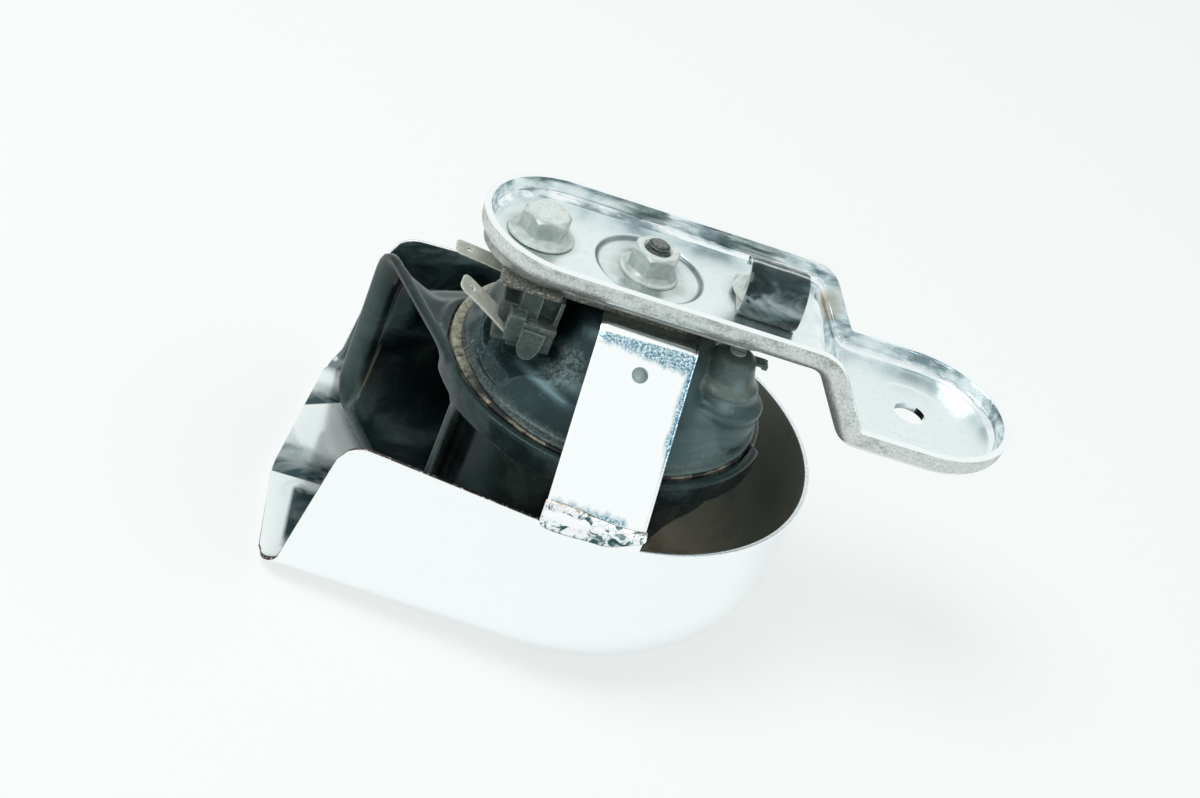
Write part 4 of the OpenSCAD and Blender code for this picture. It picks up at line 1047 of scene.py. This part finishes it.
def clip_piece():
    outer, inner = ([(11, h), (4, h), (-3, h)] + clip_path(-h, 270) for h in (0, 1))
    steel = piece("clip_steel_strip", [strip(outer, inner, CLIP_X0, CLIP_X1, 12)], "clip", "clip_strap")
    drill(steel, (*EAR_BOLT, 0.5), 4.3)
    bevel(steel, 0.25, 2, 50)
    # The sleeve's end folds over the steel's edge and back under it
    end = math.radians(55)
    cy, cz = ARCH_Y + 8.7 * math.cos(end) + 0.25, ARCH_Z + 8.7 * math.sin(end)
    fold = []
    for i in range(1, 9):
        a = math.radians(57 - 180 * i / 8)
        fold.append((cy + 1.25 * math.cos(a), cz + 1.25 * math.sin(a)))
    outer = clip_path(0.75, 238, 57) + fold + clip_path(-1.6, 238, 60)[:-5:-1]
    inner = clip_path(0.03, 238) + clip_path(-1.03, 238)[:-5:-1]
    sleeve = strip(outer, inner, CLIP_X0 - 0.15, CLIP_X1 + 0.15, 30, 0.16, 2)
    piece("clip_vinyl_sleeve", [sleeve], "vinyl", "clip_skin", sharp=50)


clip_piece()

# Horn case: a turned pressing with a boss, a pocket round the terminals and soft dents
CASE_LINE = [(0, -9), (14, -9), (20, -9), (22.6, -9.35), (25, -10.9), (27.6, -13.4), (29.8, -16.6),
             (31.4, -20), (33, -22.8), (35.4, -25), (37.8, -26.4), (40, -27.4), (41.3, -29.2),
             (42, -31.6), (43.1, -34.4), (44.4, -36.4)]
CASE_FOOT = [(45, -36.75), (45.9, -36.95), (46.35, -37.2), (46.4, -37.6), (46.3, -37.95), (44, -38)]
BOSS_LINE = [(0, -9.4), (3, -9.4), (4.8, -9.7), (5.9, -10.4), (6.5, -11.6), (6.9, -13.2), (7.5, -15.2),
             (8.2, -16.9), (9, -18), (9.9, -18.8), (10.3, -19.5), (9.9, -20.4), (9.8, -21.4), (10.4, -22.6),
             (11.8, -23.6), (13.4, -24.2), (13.6, -25.4), (13.2, -28), (13.4, -31), (13.4, -35)]
# Dents: angle, radius, height, reach and depth
DENTS = ((-33, 34, -21, 5.5, 0.9), (-12, 37, -27, 6, 0.8), (-62, 36, -25, 6, 0.7),
         (-128, 37, -27, 7, 0.7), (-160, 33, -20, 6, 0.6))
CREST = (Vector((-30.8, -19.1, -30)), Vector((-14.3, -36.9, -27.5)))
BLOCK = (-36, -22, -25, -10)


def leaf_piece():
    """The spring leaf: a round end under the nut and a square, corroded end over the terminals."""
    def corners(grow):
        r = 18 + grow
        angles = [math.radians(a) for a in range(-90, 91, 6)]
        return [(8 + r * math.cos(a), r * math.sin(a)) for a in angles] + [
            (-24, r), (-40, r), (-41.4 - grow, 16.5), (-41.4 - grow, -21.9), (-40.6, -22.7 - grow),
            (-24.2, -22.7 - grow), (-23.4 + grow, -21.9), (-23.2 + grow, -18 - grow)]

    def outline(grow):
        base, loop, out = corners(0), corners(grow), []
        for k, here in enumerate(loop):
            k2 = (k + 1) % len(loop)
            steps = max(1, round(math.dist(base[k], base[k2])))
            out += [[lerp(a, b, i / steps) for a, b in zip(here, loop[k2])] for i in range(steps)]
        return out

    rings = []
    for grow, z in ((-0.5, -4.55), (-0.1, -4.75), (0.05, -5.3), (0, -6), (0.05, -6.7), (-0.1, -6.95),
                    (-0.4, -7)):
        worn = 0.25 if grow > -0.3 else 0
        rings.append([[x + worn * ripple((x, y, z), 0.5, 2), y + worn * ripple((x, y, z), 0.6, 8),
                       z + (0.7 * smooth((-19 - y) / 2) if z < -6.5 else 0)] for x, y in outline(grow)])
    o = piece("spring_leaf", [loft(rings, capped=True)], "leaf", "horn_leaf")
    for x, y in (ROUND_BOLT, (0, 0)):
        drill(o, (x, y, -6), 4.2)
    sharpen(o, 40)


leaf_piece()


def off_block(x, y, grow):
    """Distance outside the terminal block's footprint, grown by a margin."""
    return math.hypot(max(BLOCK[0] - grow - x, 0, x - BLOCK[1] - grow),
                      max(BLOCK[2] - grow - y, 0, y - BLOCK[3] - grow))


def case_point(r, z, a):
    """Moves a point of the case: pocket, flat beside it, crest and dents."""
    p = Vector((r * math.cos(a), r * math.sin(a), z))
    near = off_block(p.x, p.y, 1.2)
    dz = 0.55 * math.exp(-((near - 5.6) / 1.5) ** 2) * smooth((r - 20) / 6)
    dz -= 5 * smooth(1 - near / 4.2) * smooth((r - 18) / 8) * smooth((-3 - z) / 6)
    dr = 0.14 * ripple(p, 0.07, 3) * smooth((r - 15) / 10)
    for angle, rr, zz, reach, depth in DENTS:
        da = (a - math.radians(angle) + math.pi) % (2 * math.pi) - math.pi
        d = math.hypot(da * rr, math.hypot(r - rr, z - zz))
        dr -= depth * math.exp(-(d / reach) ** 2)
    start, line = CREST[0], CREST[1] - CREST[0]
    d = (p - start - line * clamp((p - start).dot(line) / line.length_squared)).length
    dr += 1.1 * math.exp(-(d / 1.7) ** 2)
    fade = smooth((z + 35.5) / 4)
    if r < 44.5 and z > -36.3:
        return r + dr * fade, z + dz * fade
    # The foot is drawn in on the left, where the gasket shows
    inward = smooth((math.cos(a - math.radians(170)) - 0.25) / 0.6)
    return r + dr + lerp(0.9, -1.5, inward) * smooth((r - 44.2) / 1.2), z + dz * fade


def case_piece():
    body = lathe(curve_points(CASE_LINE, 5) + CASE_FOOT, 240, move=case_point)

    def boss_move(r, z, a):
        p = (BOSS[0] + r * math.cos(a), BOSS[1] + r * math.sin(a), z)
        return r + 0.12 * ripple(p, 0.25, 7) * smooth((r - 4) / 2), z

    boss = lathe(curve_points(BOSS_LINE, 4) + [(0, -35)], 96, BOSS, boss_move)
    o = piece("horn_case_shell", [body, boss], "case", "horn_case", weld=2e-5)
    close = bmesh.new()
    close.from_mesh(o.data)
    bmesh.ops.holes_fill(close, edges=[e for e in close.edges if e.is_boundary])
    close.to_mesh(o.data)
    close.free()
    voxel_skin(o, 0.5)
    soft = o.modifiers.new("soft", "SMOOTH")
    soft.factor = 0.5
    soft.iterations = 4
    applied(o)
    # Torn tab by the boss, with its small teeth
    tab = slab(34.5, 39.8, -14.5, -10.5, -11.7, -10.7, 0.25)
    teeth = []
    for k in range(3):
        teeth.append(slab(38.7 + 0.1 * k, 40.4, -14.2 + 1.5 * k, -13.4 + 1.5 * k, -12.4, -10.9, 0.2))
    piece("case_tab", [tab] + teeth, "case", "horn_case", sharp=40)


case_piece()


def gasket_piece(name, node, z0, z1, seed):
    """A fibre ring between the case and the trumpet, worn uneven at its edge."""
    def move(r, z, a):
        if r < 44:
            return r, z
        worn = 0.22 * ripple((47 * math.cos(a), 47 * math.sin(a), 0), 0.18, seed)
        return r + worn * 0.5, z + 0.05 * ripple((r * math.cos(a), r * math.sin(a), z), 0.5, seed)
    ring = lathe([(39, z0), (39, z1), (46.6, z1), (47.35, z1 - 0.12), (47.5, (z0 + z1) / 2),
                  (47.35, z0 + 0.12), (46.6, z0), (39, z0)], 180, move=move)
    piece(name, [ring], "gasket", node)


gasket_piece("upper_gasket_ring", "upper_gasket", -39, -38, 1)
gasket_piece("lower_gasket_ring", "lower_gasket", -40.4, -39.4, 6)


# Terminal block: ledges, a screw well and a U-shaped tongue, with the two blades
def terminal_block_piece():
    x0, x1, y0, y1 = BLOCK
    parts = [slab(*sizes) for sizes in (
        (x0 + 2.2, x1 + 0.4, y0 + 4.6, y1, -26, -7.6, 0.5),
        (x0, x1, y0 + 0.8, y0 + 5.6, -20.2, -15.4, 0.5),
        (x0 + 0.6, x0 + 4.6, y0 + 1.2, y0 + 6.2, -22.6, -18.6, 0.6),
        (x1 - 2.6, x1 + 0.3, y0 + 1.2, y0 + 8, -23.4, -15, 0.6),
        (x0 + 0.3, x0 + 4.9, y0 + 0.4, y0 + 6.2, -16.6, -13.4, 0.35),
        (x0 + 4.6, x1 + 0.2, y0 + 0.3, y0 + 2.4, -16.2, -14.7, 0.35),
        (-38.5, x0 + 3, y0 + 6, 4, -26, -13, 0.7),
        (-37.6, x0 + 2.4, -12, 2.6, -13.6, -10.4, 0.6))]
    # Tongue with a round foot, raised on the near face
    tongue = [(-31.2, -16.4), (-31.3, -21.4), (-30.6, -24.2), (-28.8, -25.8), (-26.7, -25.6), (-25.2, -23.4),
              (-24.6, -20.6), (-24.4, -16.6)]
    line = curve_points(tongue, 5)
    parts.append(loft([[[x, y, z] for x, z in line] for y in (y0 - 0.3, y0 + 3.2)], capped=True))
    o = piece("terminal_moulding", parts, "block", "terminal_block")
    drill(o, (-25.4, -19.2, -10.6), 2.6, 10, steps=40, top_r=2.9, self_cut=True)
    bevel(o, 0.22, 2, 40)
    sharpen(o, 50)


terminal_block_piece()

BLADE_W, BLADE_T = 6.3, 0.8


def blade_piece(name, node, length, base, turns, bow, seed, corner):
    """A spade blade: chamfered tip, thinned edges, a slight bow and a stamped pin hole."""
    m = Matrix.Identity(3)
    for turn, axis in zip(turns, "ZYX"):
        m = m @ Matrix.Rotation(math.radians(turn), 3, axis)

    def laid(p):
        """A point of the blade, as it lies in the block."""
        return list(m @ Vector(p) + Vector(base))

    rows, cols = 36, 12
    across = [2 * j / cols - 1 for j in range(cols + 1)]
    rings = []
    for i in range(rows + 1):
        s = length * i / rows
        tip = clamp((s - (length - 2.4)) / 2.4)
        half = BLADE_W / 2 - corner * (1 - math.sqrt(max(0, 1 - tip ** 2)))
        thick = BLADE_T * (1 - 0.55 * tip ** 3)
        ring = []
        for face, line in ((1, across), (-1, across[::-1])):
            for u in line:
                edge = 0.22 * smooth((abs(u) - 0.86) / 0.14)
                p = (s, u * half, BLADE_T / 2 + face * (thick / 2 - edge))
                lift = bow * math.sin(math.pi * i / rows) + 0.04 * ripple(p, 0.3, seed)
                ring.append(laid((p[0], p[1], p[2] + lift)))
        rings.append(ring)
    o = piece(name, [loft(rings, capped=True)], "brass", node)
    drill(o, laid((length - 4, 0, 0.4)), 0.8, 4, m.to_euler(), 28)
    sharpen(o, 40)


blade_piece("near_blade", "near_terminal", 20, (-34.4, -18.2, -21.9), (180, -32, -13), 0.25, 1, 1.3)
blade_piece("far_blade", "far_terminal", 17, (-37.6, 2.2, -15.6), (184, -9, -6), 0.1, 2, 0.7)

# Trumpet: the duct runs along u, with v across it to the far side
DUCT_C, DUCT_S = math.cos(math.radians(207)), math.sin(math.radians(207))
DUCT_V, DUCT_Z = 25.4, -67.1
DUCT_HALF_V, DUCT_HALF_Z, DUCT_ROUND = 22.3, 18.9, 6


def duct_point(u, v, z):
    """Moves a point of the duct, given in its own frame: a thin upper lip and a flared left one."""
    back = smooth((47.5 - u) / 9) * smooth((u - 2) / 16)
    pull = back * smooth((v - 30) / 18) * smooth((z + 75) / 22)
    drop = back * smooth((v - 34) / 18) * smooth((z + 60) / 18)
    # Distance outside the duct's bore and the way out of it
    qv, qz = abs(v - DUCT_V) - DUCT_HALF_V, abs(z - DUCT_Z) - DUCT_HALF_Z
    out = math.hypot(max(qv, 0), max(qz, 0)) + min(max(qv, qz), 0) - DUCT_ROUND
    if u > 34 and -5.5 < out < 7 and v > -2.5:
        gv, gz = (1, 0) if qv > qz else (0, 1)
        if qv > 0 and qz > 0:
            gv, gz = qv / math.hypot(qv, qz), qz / math.hypot(qv, qz)
        gv, gz = math.copysign(gv, v - DUCT_V), math.copysign(gz, z - DUCT_Z)
        left, upper = smooth((gv - 0.15) / 0.6), smooth((gz - 0.3) / 0.5) * smooth((v - 9) / 8)
        # Upper lip: its underside rises to a thin edge
        if z < -40.6:
            z += (-40.9 - z) * 0.72 * smooth((u - 34) / 11) * upper
        u -= 2.6 * smooth((-39.9 - z) / 2.6) * smooth((u - 44) / 4) * upper * (1 - left)
        # Left lip: its outer edge reaches the cover's wall, its inner side falls back
        t = clamp(out / 2.4)
        grow = 3.4 * smooth((u - 40) / 9) * t * left
        v, z = v + gv * grow, z + 0.4 * gz * grow
        u -= 3.4 * smooth((u - 44) / 4) * (1 - t) ** 1.5 * left
    return u, v - 6 * pull, z - 2.5 * drop


def ring_point(x, y, z, u):
    """Moves a point of the ring and the spiral under it."""
    r, way = math.hypot(x, y), math.degrees(math.atan2(y, x))
    # The ring's outer step ends beside the boss
    if z > -48 and r > 45 and -19 < way < 80:
        k = 1 - 2.2 * smooth((r - 45) / 3) * smooth((way + 18.2) / 1.2) * smooth((80 - way) / 10) / r
        x, y = x * k, y * k
    # The snail's floor rises towards its start
    if z < -47 and x > 0 and u < 30:
        rise = 0.62 * smooth((x - 7) / 27)
        k = 1 - 2.2 * smooth((x - 12) / 20) * smooth((-47 - z) / 8) / max(r, 14)
        x, y, z = x * k, y * k, -47 + (z + 47) * (1 - rise)
    return x, y, z


def trumpet_piece():
    """The shell and its lid as one worn moulding."""
    b = bmesh.new()
    for node in ("trumpet_shell", "trumpet_lid"):
        b.from_mesh(NODES[node].data)
    o = new_object("trumpet_moulding", b)
    o.data.materials.append(M["trumpet"])
    voxel_skin(o, 0.55)
    applied(o)
    b = bmesh.new()
    b.from_mesh(o.data)
    lip = []
    for vert in b.verts:
        x, y, z = vert.co.x * 1000 + EAR_X, vert.co.y * 1000, vert.co.z * 1000 - DROP
        u, v = DUCT_C * x + DUCT_S * y, DUCT_S * x - DUCT_C * y
        if u > 44:
            lip.append(vert)
        u, v, z = duct_point(u, v, z)
        vert.co = place(ring_point(DUCT_C * u + DUCT_S * v, DUCT_S * u - DUCT_C * v, z, u))
    for verts, passes in ((list(b.verts), 4), (lip, 7)):
        for _ in range(passes):
            bmesh.ops.smooth_vert(b, verts=verts, factor=0.5,
                                  use_axis_x=True, use_axis_y=True, use_axis_z=True)
    for face in b.faces:
        face.smooth = True
        face.material_index = 0
    b.to_mesh(o.data)
    b.free()
    declare(o, ["trumpet_shell", "trumpet_lid"])


trumpet_piece()


# Floor, light and camera
def floor_stage():
    """A pale floor that lends its glow to the camera and to the chrome."""
    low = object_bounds()[0][2] - 0.002
    b = bmesh.new()
    bmesh.ops.create_grid(b, x_segments=2, y_segments=2, size=6)
    floor = new_object("floor", b)
    floor.location = (0, 0, low)
    m = Mat("floor", (0.93, 0.95, 0.945), rough=0.9)
    floor.data.materials.append(m.m)
    glow = m.add("ShaderNodeEmission", {"Color": (0.945, 0.978, 0.972, 1)})
    ray = m.add("ShaderNodeLightPath", {}, None).outputs
    own = m.plus(m.band(ray["Is Glossy Ray"], 0, 1, 0, 0.6), m.band(ray["Is Camera Ray"], 0, 1, 0, 0.62))
    blend = m.add("ShaderNodeMixShader", {0: own, 1: m.b.outputs[0], 2: glow})
    m.tree.links.new(blend, m.out.inputs[0])


def studio():
    """A pale room that only metal and glass see in full, with dim patches where things stand in it."""
    w = bpy.data.worlds.new("studio")
    w.use_nodes = True
    t = Nodes(w.node_tree)
    way = t.add("ShaderNodeTexCoord", {}, "Generated")
    patches = []
    # Direction of each patch, with the angles where it is full and where it ends
    for direction, full, end in (((-0.155, -0.828, 0.538), 9, 19), ((0.16, -0.85, 0.5), 10, 19),
                                 ((-0.93, -0.25, 0.27), 14, 30), ((0.8, -0.55, 0.23), 6, 15),
                                 ((-0.62, -0.72, 0.3), 6, 13)):
        dot = t.vector("DOT_PRODUCT", way, Vector(direction).normalized(), "Value")
        patches.append(t.band(dot, math.cos(math.radians(end)), math.cos(math.radians(full)),
                              interpolation_type="SMOOTHSTEP"))
    tone = t.ramp(t.most(*patches), (0, 0.955, 0.985, 0.98), (0.45, 0.36, 0.43, 0.48), (1, 1, 1, 1))
    rays = t.add("ShaderNodeLightPath", {}, None).outputs
    seen = t.most(*(rays[kind] for kind in ("Is Camera Ray", "Is Glossy Ray", "Is Transmission Ray")))
    back = w.node_tree.nodes["Background"].inputs
    t.tree.links.new(tone, back["Color"])
    t.tree.links.new(t.band(seen, 0, 1, 0.72), back["Strength"])
    bpy.context.scene.world = w


def aimed(name, data, pos):
    o = bpy.data.objects.new(name, data)
    bpy.context.scene.collection.objects.link(o)
    o.location = pos
    return o


def key_light(pos, aim):
    light = bpy.data.lights.new("key", "AREA")
    light.shape = "DISK"
    light.size = 0.85
    light.energy = 7.4
    o = aimed("key", light, pos)
    o.rotation_euler = (Vector(aim) - Vector(pos)).to_track_quat("-Z", "Y").to_euler()


floor_stage()
studio()
key_light((-0.62, -0.22, 1.2), (-0.08, 0, 0))

lens = bpy.data.cameras.new("camera")
lens.sensor_width = 36
lens.lens = 67.867
lens.clip_start = 0.01
camera = aimed("camera", lens, (-0.194227, -0.554144, 0.340617))
camera.rotation_euler = [math.radians(a) for a in (54.61653, -19.222418, 2.302016)]
bpy.context.scene.camera = camera
bpy.context.scene.view_settings.view_transform = "Standard"
